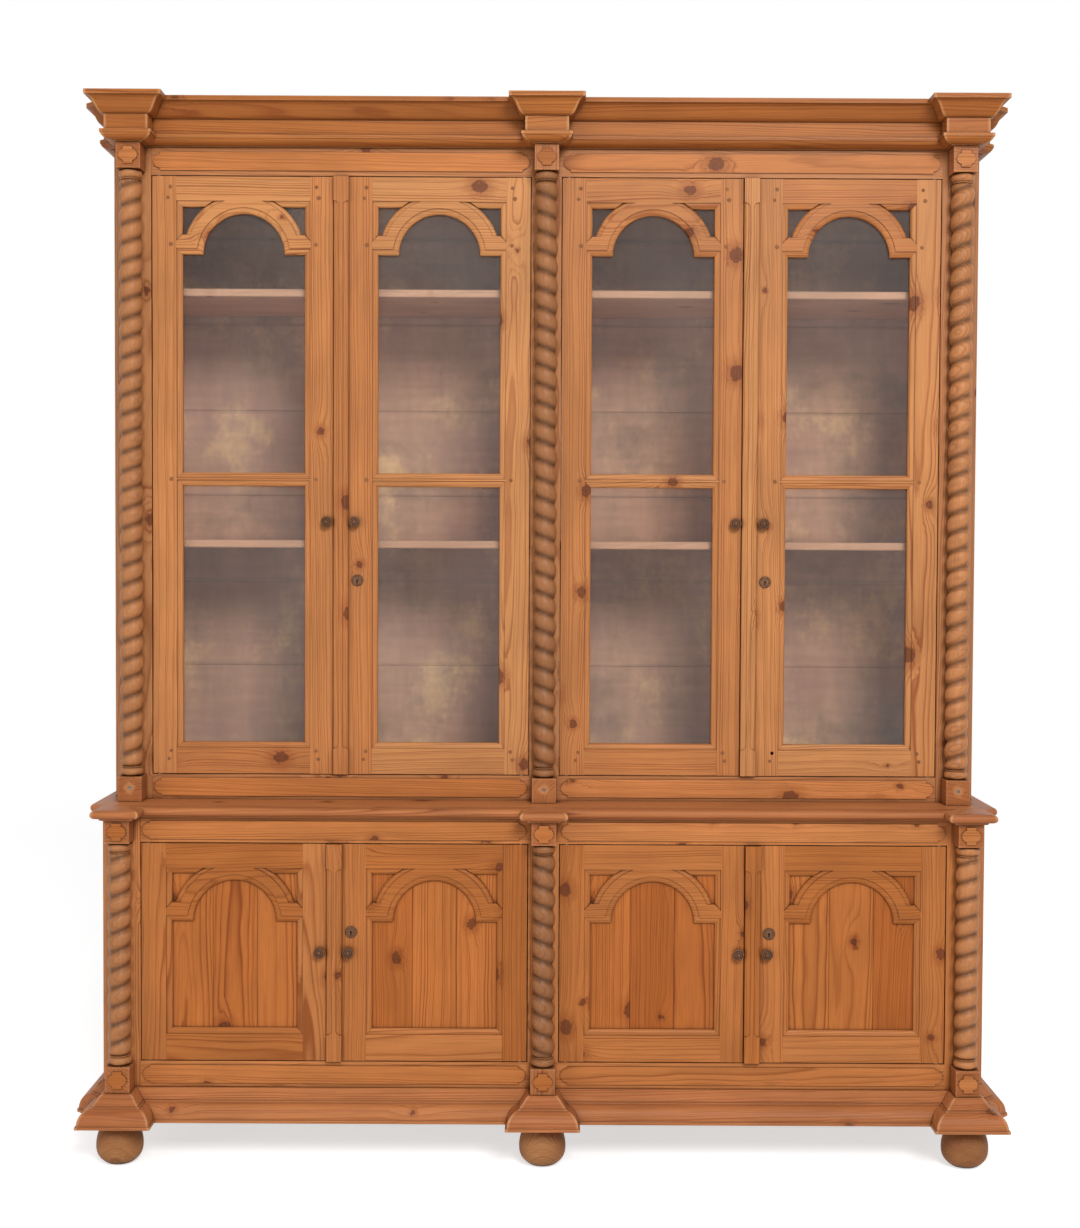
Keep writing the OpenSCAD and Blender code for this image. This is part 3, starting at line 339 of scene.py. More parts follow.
def mark_boards(name, mesh, sawn, groups=None, grain=None, tones=None):
    """Gives each board its place in a log, its joints and its tone.

    sawn is the share of flat-sawn boards, or "pith" for wood turned round the heart of the tree.
    """
    random = np.random.default_rng(sum(ord(c) * (i + 3) for i, c in enumerate(name)))
    points = read(mesh.vertices, "co", 3)
    normals, areas = read(mesh.polygons, "normal", 3), read(mesh.polygons, "area")
    starts = read(mesh.polygons, "loop_start", kind=int)
    first = read(mesh.loops, "vertex_index", kind=int)[starts]
    board = islands(mesh) if groups is None else groups(points)
    place, joints = np.zeros_like(points), np.zeros_like(points)
    tone = np.zeros(len(points))
    numbers = np.unique(board)
    for number in numbers:
        mine = board == number
        faces = board[first] == number
        n, a = normals[faces], areas[faces]
        spread = (n * a[:, None]).T @ n
        axes = np.linalg.eigh(spread)[1].T
        if grain is not None:
            along = np.array(grain, dtype=float)
            across = axes[2] - along * (axes[2] @ along)
            across /= np.linalg.norm(across)
            axes = np.array([along, np.cross(along, across), across])
        axes = np.array([axis * (1 if axis[np.argmax(abs(axis))] > 0 else -1) for axis in axes])
        corner = points[mine]
        middle = (corner.min(0) + corner.max(0)) / 2
        local = (corner - middle) @ axes.T
        slope = random.uniform(-0.022, 0.022, 2)
        if sawn == "pith":
            pith = random.uniform(-0.006, 0.006, 2)
            slope *= 0.2
        elif random.random() < sawn:
            pith = np.array([random.uniform(-0.035, 0.035),
                             random.choice([-1, 1]) * random.uniform(0.03, 0.075)])
        else:
            pith = np.array([random.choice([-1, 1]) * random.uniform(0.09, 0.26),
                             random.uniform(-0.05, 0.05)])
        place[mine, 0] = local[:, 0] + random.uniform(5, 60)
        place[mine, 1] = local[:, 1] + pith[0] + slope[0] * local[:, 0]
        place[mine, 2] = local[:, 2] + pith[1] + slope[1] * local[:, 0]
        joints[mine, 0] = corner[:, 2] - corner[:, 2].min()
        joints[mine, 1] = corner[:, 2].max() - corner[:, 2]
        tone[mine] = random.uniform(0, 1) if tones is None else tones[int(number)]
    mark(mesh, "board_place", place)
    mark(mesh, "board_joints", joints)
    mark(mesh, "board_tone", tone)
    return len(numbers)


# %% [markdown]
# ## Waxed pine
# Scots pine: pale early wood grows in spring, and a narrow hard band of orange late wood
# closes each year, with a sharp outer edge. Where branches grew there are dark knots, and the
# rings flow round them. Years of wax have turned it honey brown and left dark old wax in the
# joints, and painted shade darkens the corners. The real rings are 1.5 to 3 mm apart. At two
# millimetres to a pixel they wouldn't show, so they are drawn 5.5 mm apart, and 6.5 mm on the
# panels.

# %% The pine material
def pine(name, early, early_warm, late, knot="#54291a", dirt="#4a2610", ring=0.0055, knots=0.5,
         rough=0.42, stain=None, contrast=0.9, streak=0.15, dirt_and_shade_share=0.8, worn=0.0,
         scraped=False, shine=0.12, groove_polish_and_shade=0.0):
    """Waxed pine. early, early_warm: spring wood of two boards; late: its autumn wood."""
    # dirt is the colour of dark old wax, and also of the painted shade in corners, joints and
    # grooves
    material, tree, shader = new_material(name)
    place = add(tree, "Attribute", attribute_name="board_place", out=1)
    tone = add(tree, "Attribute", attribute_name="board_tone", out=2)

    # The trunk is never quite straight: slow waves shift the place across the grain
    slow = add(tree, "VectorMath", {0: place, 1: (3.2, 13.0, 13.0)}, operation="MULTIPLY")
    waves = add(tree, "TexNoise", {"Vector": slow, "Scale": 1.0, "Detail": 2.0, "Roughness": 0.45},
                out=1)
    waves = add(tree, "VectorMath", {0: waves, 1: (0.5, 0.5, 0.5)}, operation="SUBTRACT")
    waves = add(tree, "VectorMath", {0: waves, 1: (0.0, 0.018, 0.018)}, operation="MULTIPLY")
    bent = add(tree, "VectorMath", {0: place, 1: waves}, operation="ADD")
    radial = add(tree, "VectorMath", {0: bent, 1: (0.0, 1.0, 1.0)}, operation="MULTIPLY")
    radius = add(tree, "VectorMath", {0: radial}, operation="LENGTH", out=1)

    # Knots: one in each cell of a board's face, kept in a share of the cells, with uneven outlines
    cell = (0.24, 0.085)
    lumps = add(tree, "TexNoise", {"Vector": place, "Scale": 95.0, "Detail": 2.0}, out=1)
    lumps = add(tree, "VectorMath", {0: lumps, 1: (0.5, 0.5, 0.5)}, operation="SUBTRACT")
    lumps = add(tree, "VectorMath", {0: lumps, "Scale": 0.015}, operation="SCALE")
    lumpy = add(tree, "VectorMath", {0: place, 1: lumps}, operation="ADD")
    on_face = add(tree, "VectorMath", {0: lumpy, 1: (1 / cell[0], 1 / cell[1], 0.0)},
                  operation="MULTIPLY")
    knot_cells = add(tree, "TexVoronoi", {"Vector": on_face, "Scale": 1.0, "Randomness": 0.85},
                     voronoi_dimensions="2D").node.outputs
    away = add(tree, "VectorMath", {0: on_face, 1: knot_cells["Position"]}, operation="SUBTRACT")
    away = add(tree, "VectorMath", {0: away, 1: (cell[0] * 0.8, cell[1], 0.0)},
               operation="MULTIPLY")
    distance = add(tree, "VectorMath", {0: away}, operation="LENGTH", out=1)
    lot = add(tree, "SeparateColor", {"Color": knot_cells["Color"]}).node.outputs
    there = add(tree, "Math", {0: lot[0], 1: knots}, operation="LESS_THAN")
    knot_radius = add(tree, "MapRange", {"Value": lot[1], "To Min": 0.0035, "To Max": 0.014})
    share = add(tree, "Math", {0: distance, 1: knot_radius}, operation="DIVIDE")
    heart = add(tree, "MapRange", {"Value": share, "From Min": 1.1, "From Max": 0.7},
                interpolation_type="SMOOTHSTEP")
    heart = add(tree, "Math", {0: heart, 1: there}, operation="MULTIPLY")
    bark = add(tree, "Math", {0: share, 1: 0.93}, operation="SUBTRACT")
    bark = add(tree, "Math", {0: bark}, operation="ABSOLUTE")
    bark = add(tree, "MapRange", {"Value": bark, "From Max": 0.22, "To Min": 0.7, "To Max": 0.0})
    bark = add(tree, "Math", {0: bark, 1: there}, operation="MULTIPLY")
    halo = add(tree, "MapRange", {"Value": share, "From Min": 3.0, "From Max": 0.9},
               interpolation_type="SMOOTHSTEP")
    halo = add(tree, "Math", {0: halo, 1: there}, operation="MULTIPLY")

    # The rings swell round a knot, so that they close into eyes on the face
    long_away = add(tree, "VectorMath", {0: away, 1: (30.0, 62.0, 0.0)}, operation="MULTIPLY")
    square = add(tree, "VectorMath", {0: long_away, 1: long_away}, operation="DOT_PRODUCT", out=1)
    square = add(tree, "Math", {0: square, 1: -1.0}, operation="MULTIPLY")
    swell = add(tree, "Math", {0: 2.718, 1: square}, operation="POWER")
    swell = add(tree, "Math", {0: swell, 1: there}, operation="MULTIPLY")
    swell = add(tree, "Math", {0: swell, 1: 2.4 * ring}, operation="MULTIPLY")
    radius = add(tree, "Math", {0: radius, 1: swell}, operation="ADD")

    # Years: some grew fast and some slowly, and each ends in late wood
    year = add(tree, "Math", {0: radius, 1: 1 / ring}, operation="MULTIPLY")
    uneven = add(tree, "TexNoise", {"W": year, "Scale": 0.23, "Detail": 1.0}, noise_dimensions="1D")
    year = add(tree, "Math", {0: uneven, 1: 5.0, 2: year}, operation="MULTIPLY_ADD")
    season = add(tree, "Math", {0: year}, operation="FRACT")
    ramp = add(tree, "ValToRGB", {"Fac": season})
    steps = ramp.node.color_ramp.elements
    steps[0].color, steps[1].color = (0.28, 0.28, 0.28, 1), (0.3, 0.3, 0.3, 1)
    for position, value in ((0.10, 0.0), (0.48, 0.06), (0.72, 0.45), (0.86, 1.0), (0.94, 0.95)):
        step = steps.new(position)
        step.color = (value, value, value, 1)
    strong = add(tree, "TexNoise", {"W": year, "Scale": 0.37, "Detail": 0.0}, noise_dimensions="1D")
    strong = add(tree, "MapRange",
                 {"Value": strong, "From Min": 0.3, "From Max": 0.7, "To Min": 0.3})
    band = add(tree, "Math", {0: ramp, 1: strong}, operation="MULTIPLY")

    # Fibres along the grain, and slow clouds of wax and sun over the board
    fine = add(tree, "VectorMath", {0: place, 1: (9.0, 340.0, 340.0)}, operation="MULTIPLY")
    fibres = add(tree, "TexNoise", {"Vector": fine, "Scale": 1.0, "Detail": 3.0, "Roughness": 0.6})
    broad = add(tree, "VectorMath", {0: place, 1: (4.0, 11.0, 11.0)}, operation="MULTIPLY")
    clouds = add(tree, "TexNoise", {"Vector": broad, "Scale": 1.0, "Detail": 3.0})

    # The colours lie over each other: spring wood, stains, late wood, and the knots on top
    layers = [(tone, early_warm)]
    if stain:
        layers.append((add(tree, "MapRange", {"Value": clouds, "From Min": 0.40, "From Max": 0.64}),
                       stain))
    late_share = add(tree, "Math", {0: band, 1: contrast}, operation="MULTIPLY")
    halo = add(tree, "Math", {0: halo, 1: 0.5}, operation="MULTIPLY")
    circles = add(tree, "Math", {0: distance, 1: 2400.0}, operation="MULTIPLY")
    circles = add(tree, "Math", {0: circles}, operation="SINE")
    knot_dark = add(tree, "MapRange",
                    {"Value": circles, "From Min": -1.0, "To Min": 0.5, "To Max": 0.9})
    knot_dark = add(tree, "Math", {0: knot_dark, 1: heart}, operation="MULTIPLY")
    layers += [(late_share, late), (halo, late), (knot_dark, knot), (bark, knot)]
    colour = linear(early)
    for cover, paint in layers:
        colour = add(tree, "Mix", {"Factor": cover, "A": colour, "B": linear(paint)}, out=2,
                     data_type="RGBA")
    light = add(tree, "MapRange", {"Value": fibres, "From Min": 0.25, "From Max": 0.75,
                                   "To Min": 1.0 - streak, "To Max": 1.0 + streak})
    cloud = add(tree, "MapRange",
                {"Value": clouds, "From Min": 0.3, "From Max": 0.7, "To Min": 0.87, "To Max": 1.10})
    light = add(tree, "Math", {0: light, 1: cloud}, operation="MULTIPLY")
    colour = add(tree, "VectorMath", {0: colour, "Scale": light}, operation="SCALE")

    # Handling has rubbed the sharp edges paler, where the wood is thin in front of the eye
    if worn:
        edge = add(tree, "AmbientOcclusion", {"Distance": 0.005}, out=1, inside=True, samples=4)
        edge = add(tree, "MapRange",
                   {"Value": edge, "From Min": 0.80, "From Max": 0.45, "To Max": worn})
        colour = add(tree, "Mix", {"Factor": edge, "A": colour, "B": linear("#e0ad7c")}, out=2,
                     data_type="RGBA")

    # The blocks are scraped down to raw wood round the screws that were put in later
    if scraped:
        spot = add(tree, "TexCoord", out="Object")
        spot = add(tree, "SeparateXYZ", {0: spot}).node.outputs
        side = add(tree, "Math", {0: spot[0]}, operation="ABSOLUTE")
        outer = add(tree, "Math", {0: side, 1: SCREW_X}, operation="SUBTRACT")
        outer = add(tree, "Math", {0: outer}, operation="ABSOLUTE")
        side = add(tree, "Math", {0: side, 1: outer}, operation="MINIMUM")
        up = add(tree, "Math", {0: spot[2], 1: SCREW_Z}, operation="SUBTRACT")
        away = add(tree, "CombineXYZ", {0: side, 1: up})
        away = add(tree, "VectorMath", {0: away, 1: lumps}, operation="ADD")
        away = add(tree, "VectorMath", {0: away, 1: (1.0, 1.0, 0.0)}, operation="MULTIPLY")
        away = add(tree, "VectorMath", {0: away}, operation="LENGTH", out=1)
        raw = add(tree, "MapRange",
                  {"Value": away, "From Min": 0.0145, "From Max": 0.0075, "To Max": 0.35})
        colour = add(tree, "Mix", {"Factor": raw, "A": colour, "B": linear("#d39a66")}, out=2,
                     data_type="RGBA")

    # The groove of a twist is darkened by its depth: partly dark polish, partly painted shade
    if groove_polish_and_shade:
        depth = add(tree, "Attribute", attribute_name="groove_depth", out=2)
        depth = add(tree, "MapRange", {"Value": depth, "From Min": 0.1, "From Max": 1.0,
                                       "To Max": groove_polish_and_shade}, interpolation_type="SMOOTHSTEP")
        colour = add(tree, "Mix", {"Factor": depth, "A": colour, "B": linear(dirt)}, out=2,
                     data_type="RGBA")

    # Darkened where a cloth doesn't reach, broad in corners and sharp in joints: partly old wax and
    # dust, partly painted shade taken from the occlusion of the wood
    corner = add(tree, "AmbientOcclusion", {"Distance": 0.014}, out=1, samples=4)
    grime_and_shade = add(tree, "MapRange",
                {"Value": corner, "From Min": 0.85, "From Max": 0.30, "To Max": dirt_and_shade_share})
    joint = add(tree, "AmbientOcclusion", {"Distance": 0.0035}, out=1, samples=4)
    joint = add(tree, "MapRange",
                {"Value": joint, "From Min": 0.90, "From Max": 0.50, "To Max": dirt_and_shade_share})
    grime_and_shade = add(tree, "Math", {0: grime_and_shade, 1: joint}, operation="MAXIMUM")
    colour = add(tree, "Mix", {"Factor": grime_and_shade, "A": colour, "B": linear(dirt)}, out=2,
                 data_type="RGBA")

    sheen = add(tree, "MapRange", {"Value": fibres, "To Min": rough - 0.07, "To Max": rough + 0.10})
    ridge = add(tree, "Math", {0: fibres, 1: 0.5, 2: band}, operation="MULTIPLY_ADD")
    relief = add(tree, "Bump", {"Height": ridge, "Strength": 0.25, "Distance": 0.0006})
    fill(tree, shader, {"Base Color": colour, "Roughness": sheen, "Normal": relief,
                        "Specular IOR Level": shine})
    return material


screw_low, screw_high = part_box("block_screws")
SCREW_HEAD_R = 0.004
SCREW_X = (screw_high[0] - screw_low[0]) / 2 - SCREW_HEAD_R
SCREW_Z = (screw_low[2] + screw_high[2]) / 2
FINISHES = {
    "glazed_pine": pine("waxed pine of the glazed doors", "#bc8250", "#ad6e3e", "#844323"),
    "door_pine": pine("waxed pine of the cupboard doors", "#b47240", "#a25f2c", "#7e4018"),
    "upper_pine": pine("waxed pine of the upper front", "#b87e50", "#a96e44", "#844a28"),
    "front_pine": pine("waxed pine of the lower front", "#c07c49", "#b16c38", "#894d25"),
    "upper_moulding": pine("waxed pine of the cornice", "#aa6933", "#9a5a2a", "#783a18",
                           knots=0.25, worn=0.3),
    "moulding_pine": pine("waxed pine of waist and plinth", "#b37345", "#a16139", "#834427",
                          knots=0.3, worn=0.35),
    "panel_pine": pine("waxed pine of the panels", "#b56d36", "#9e5725", "#7b3a14",
                       knot="#4e2716", ring=0.0065, contrast=0.95),
    "side_pine": pine("waxed pine of the sides", "#d08756", "#bd7543", "#99512c"),
    "block_pine": pine("waxed pine of the blocks", "#ab6d42", "#9b5d34", "#794021",
                       knots=0.1, worn=0.3, scraped=True),
    "column_pine": pine("turned and waxed pine", "#b47749", "#92603b", "#7b4829",
                        dirt="#381f0f", ring=0.0032, knots=0.06, contrast=0.5, rough=0.43,
                        dirt_and_shade_share=0.9, shine=0.2, groove_polish_and_shade=0.65),
    "foot_pine": pine("worn turned pine", "#b78255", "#a57245", "#794c2d", "#4d3222", "#38220f",
                      ring=0.004, knots=0.1, rough=0.55, contrast=0.7, stain="#835434"),
    "inner_pine": pine("bare pine inside", "#b9916f", "#a98263", "#8b6346", "#6b4f3b", "#4a3528",
                       rough=0.75, stain="#bd9a6c", contrast=0.45, streak=0.14),
    "shelf_pine": pine("shelves with a rosy old wash", "#e4b090", "#d8a281", "#b88669",
                       "#7f5544", "#5a3c30", rough=0.7, contrast=0.4, streak=0.12),
}
print(len(FINISHES), "kinds of pine")

# %% [markdown]
# ## Glass, steel, brass and the knobs
# The panes are old drawn glass. A thin pane is best made of clear and mirror shaders mixed by
# Fresnel, because light then passes straight through it. A little diffuse grey is the dust on it,
# and partly a painted reflection of the hazy room in it.

# %% Other finishes
def washed_boards(name, umber, mauve, ochre, dirt):
    """Back boards with a thin old wash: rubbed through in patches, and streaked by runs."""
    material, tree, shader = new_material(name)
    place = add(tree, "TexCoord", out="Object")
    broad = add(tree, "VectorMath", {0: place, 1: (5.0, 1.0, 4.4)}, operation="MULTIPLY")
    cloudy = add(tree, "TexNoise", {"Vector": broad, "Scale": 1.0, "Detail": 9.0, "Roughness": 0.7})
    patches = add(tree, "MapRange", {"Value": cloudy, "From Min": 0.50, "From Max": 0.66},
                  interpolation_type="SMOOTHSTEP")
    shifted = add(tree, "VectorMath", {0: place, 1: (7.3, 0.0, 2.9)}, operation="ADD")
    rose = add(tree, "TexNoise",
               {"Vector": shifted, "Scale": 3.4, "Detail": 6.0, "Roughness": 0.65})
    soot = add(tree, "MapRange", {"Value": rose, "From Min": 0.47, "From Max": 0.30, "To Max": 0.6})
    rose = add(tree, "MapRange", {"Value": rose, "From Min": 0.42, "From Max": 0.6})
    down = add(tree, "VectorMath", {0: place, 1: (17.0, 1.0, 3.5)}, operation="MULTIPLY")
    runs = add(tree, "TexNoise", {"Vector": down, "Scale": 1.0, "Detail": 5.0, "Roughness": 0.7})
    runs = add(tree, "MapRange",
               {"Value": runs, "From Min": 0.3, "From Max": 0.7, "To Min": 0.84, "To Max": 1.14})
    brushed = add(tree, "VectorMath", {0: place, 1: (7.0, 1.0, 60.0)}, operation="MULTIPLY")
    brushed = add(tree, "TexNoise", {"Vector": brushed, "Scale": 1.0, "Detail": 3.0})
    brushed = add(tree, "MapRange", {"Value": brushed, "From Min": 0.3, "From Max": 0.7,
                                     "To Min": 0.92, "To Max": 1.08})
    light = add(tree, "Math", {0: runs, 1: brushed}, operation="MULTIPLY")
    colour = linear(umber)
    for cover, paint in ((rose, mauve), (soot, dirt), (patches, ochre)):
        colour = add(tree, "Mix", {"Factor": cover, "A": colour, "B": linear(paint)}, out=2,
                     data_type="RGBA")
    colour = add(tree, "VectorMath", {0: colour, "Scale": light}, operation="SCALE")

    # The boards run across, and dirt has settled along their joints
    ends = add(tree, "Attribute", attribute_name="board_joints", out=1)
    ends = add(tree, "SeparateXYZ", {0: ends}).node.outputs
    joint = add(tree, "Math", {0: ends[0], 1: ends[1]}, operation="MINIMUM")
    reach = add(tree, "MapRange", {"Value": cloudy, "From Min": 0.35, "From Max": 0.65,
                                   "To Min": 0.004, "To Max": 0.013})
    joint = add(tree, "Math", {0: joint, 1: reach}, operation="DIVIDE")
    joint = add(tree, "MapRange", {"Value": joint, "From Min": 0.15, "To Min": 0.85, "To Max": 0.0},
                interpolation_type="SMOOTHSTEP")
    tone = add(tree, "Attribute", attribute_name="board_tone", out=2)
    joint = add(tree, "Math", {0: joint, 1: tone}, operation="MULTIPLY")
    colour = add(tree, "Mix", {"Factor": joint, "A": colour, "B": linear(dirt)}, out=2,
                 data_type="RGBA")

    # The wall side of the boards was never washed: bare pine gone brown with age
    facing = add(tree, "NewGeometry", out="Normal")
    facing = add(tree, "SeparateXYZ", {0: facing}).node.outputs[1]
    facing = add(tree, "Math", {0: facing, 1: 0.5}, operation="GREATER_THAN")
    fibres = add(tree, "VectorMath", {0: place, 1: (3.0, 1.0, 110.0)}, operation="MULTIPLY")
    fibres = add(tree, "TexNoise",
                 {"Vector": fibres, "Scale": 1.0, "Detail": 5.0, "Distortion": 0.4})
    fibres = add(tree, "MapRange", {"Value": fibres, "From Min": 0.35, "From Max": 0.65})
    bare = linear("#8a6848")
    for cover, paint in ((fibres, "#a5835f"), (joint, "#3d2e22")):
        bare = add(tree, "Mix", {"Factor": cover, "A": bare, "B": linear(paint)}, out=2,
                   data_type="RGBA")
    colour = add(tree, "Mix", {"Factor": facing, "A": colour, "B": bare}, out=2, data_type="RGBA")
    fill(tree, shader, {"Base Color": colour, "Roughness": 0.8})
    return material


def old_glass():
    material, tree, shader = new_material("old drawn window glass")
    tree.nodes.remove(shader)
    place = add(tree, "TexCoord", out="Object")
    ripple = add(tree, "TexNoise", {"Vector": place, "Scale": 6.0, "Detail": 1.0})
    wave = add(tree, "Bump", {"Height": ripple, "Strength": 0.15, "Distance": 0.004})
    clear = add(tree, "BsdfTransparent", {"Color": linear("#f8f9f8")})
    mirror = add(tree, "BsdfGlossy",
                 {"Color": linear("#ffffff"), "Roughness": 0.03, "Normal": wave})
    # Diffuse grey: dust on the pane, and partly a painted reflection of the room
    dust_and_reflection = add(tree, "BsdfDiffuse", {"Color": linear("#a39c99")})
    dust_and_reflection_share = add(tree, "TexNoise", {"Vector": place, "Scale": 3.0, "Detail": 4.0})
    dust_and_reflection_share = add(tree, "MapRange",
               {"Value": dust_and_reflection_share, "From Min": 0.3, "From Max": 0.7, "To Min": 0.03, "To Max": 0.10})
    pane = add(tree, "MixShader", {0: dust_and_reflection_share, 1: clear, 2: dust_and_reflection})
    glint = add(tree, "Fresnel", {"IOR": 1.5})
    glint = add(tree, "Math", {0: glint, 1: 0.3}, operation="MULTIPLY")
    pane = add(tree, "MixShader", {0: glint, 1: pane, 2: mirror})
    tree.links.new(pane, tree.nodes["Material Output"].inputs["Surface"])
    return material


FINISHES["washed_back"] = washed_boards("back boards with an old brown wash", "#d3a587", "#c99882",
                                        "#f0c292", "#553e35")


def old_metal(name, clean, dull, rough):
    """Metal browned by age: clean where it is rubbed, dull elsewhere."""
    material, tree, shader = new_material(name)
    place = add(tree, "TexCoord", out="Object")
    spots = add(tree, "TexNoise", {"Vector": place, "Scale": 420.0, "Detail": 4.0})
    spots = add(tree, "MapRange", {"Value": spots, "From Min": 0.35, "From Max": 0.65})
    colour = add(tree, "Mix", {"Factor": spots, "A": linear(clean), "B": linear(dull)}, out=2,
                 data_type="RGBA")
    sheen = add(tree, "MapRange", {"Value": spots, "To Min": rough, "To Max": rough + 0.2})
    relief = add(tree, "Bump", {"Height": spots, "Strength": 0.2, "Distance": 0.0003})
    fill(tree, shader, {"Base Color": colour, "Metallic": 0.85, "Roughness": sheen,
                        "Normal": relief})
    return material


FINISHES["window_glass"] = old_glass()
FINISHES["old_steel"] = old_metal("dull old steel", "#8a837b", "#554c44", 0.4)
FINISHES["aged_brass"] = old_metal("brass browned with age", "#75533c", "#4c3728", 0.45)
FINISHES["knob_wood"] = pine("dark turned knob wood", "#7c5640", "#6c4a34", "#422917", "#3a281b",
                             "#22150c", ring=0.0022, knots=0.0, rough=0.38, contrast=0.6,
                             dirt_and_shade_share=0.9)
FINISHES["peg_wood"] = pine("end grain of the pegs", "#8d5c38", "#7d4f2e", "#5d3820", "#4a2d1a",
                            "#38200f", ring=0.0015, knots=0.0, rough=0.5, contrast=0.5)
print(sorted(FINISHES))


# %% [markdown]
# ## Dressing the wooden nodes
# Every wooden node is replaced by its softened copy, which has the same place and size. How a
# board was sawn depends on its job: panels and friezes show the wide face of a flat-sawn
# board, and most stiles and rails are cut so that their lines run straight.

# %% Dress the boards
def piece(name, mesh, node, finish, hides=True):
    """Makes the mesh a piece that rides with a node, stands for it and takes its finish."""
    thing = linked(name, mesh)
    mesh.materials.clear()
    mesh.materials.append(FINISHES[finish])
    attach(thing, BODIES[node])
    if hides:
        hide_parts(node)
    return thing


TURNED = ("bun_feet", "upper_columns", "lower_columns")
FLAT_SAWN = {"door_panel": 0.75, "cornice_frieze": 0.9, "lower_rails": 0.5, "upper_rails": 0.5,
             "rail_tablets": 0.5, "waist_board": 0.7, "lower_back": 0.6, "upper_back": 0.6}
SPECIAL = {"glazed_door": "glazed_pine", "upper_back": "washed_back", "lower_back": "washed_back",
           "upper_shelves": "shelf_pine", "column_blocks": "block_pine",
           "block_tablets": "door_pine", "upper_posts": "upper_pine", "upper_rails": "upper_pine",
           "cornice_bed": "upper_moulding", "cornice_frieze": "upper_moulding",
           "cornice_crown": "upper_moulding"}
EDGES = {"plinth_moulding": 0.0009, "waist_nosing": 0.0009, "column_blocks": 0.0009,
         "door_panel": 0.0009, "rail_tablets": 0.0007, "block_tablets": 0.0007,
         "upper_back": 0.0015, "lower_back": 0.0015, "upper_shelves": 0.004,
         "lower_shelves": 0.004}
boards = 0
for name, node in sorted(NODES.items()):
    slot = SLOTS[name]
    if slot in ("old_steel", "aged_brass", "window_glass"):
        node.data.materials.clear()
        node.data.materials.append(FINISHES[slot])
        continue
    if slot == "knob_wood" or name in TURNED:
        continue
    kind = name[:-2] if name[-2] == "_" else name
    mesh = softened(node, EDGES.get(kind, 0.0005))
    boards += mark_boards(name, mesh, FLAT_SAWN.get(kind, 0.3))
    piece(name + "_wood", mesh, name, SPECIAL.get(kind, slot))
print(boards, "boards dressed")

# %% [markdown]
# ## Barley-twist columns
# The strand winds round the shaft as a helix, fat and rounded, with a narrow groove between
# its turns. It was rasped out of a turned post by hand. The rule is simple, so Geometry Nodes
# make it: a grid is rolled into a tube whose rows climb with the groove, and the radius
# follows a power of the sine across the strand. The strand fades out at both ends, where the
# bulbs are turned.

# %% The twist as a node tree
def new_tree(name, lengths, counts=()):
    """An empty node tree with named inputs for geometry, lengths, counts and a finish."""
    tree = bpy.data.node_groups.new(name, "GeometryNodeTree")
    kinds = ([("Geometry", "Geometry")] + [(length, "Float") for length in lengths]
             + [(count, "Int") for count in counts] + [("Finish", "Material")])
    for label, kind in kinds:
        tree.interface.new_socket(label, in_out="INPUT", socket_type="NodeSocket" + kind)
    tree.interface.new_socket("Geometry", in_out="OUTPUT", socket_type="NodeSocketGeometry")
    return tree, tree.nodes.new("NodeGroupInput").outputs


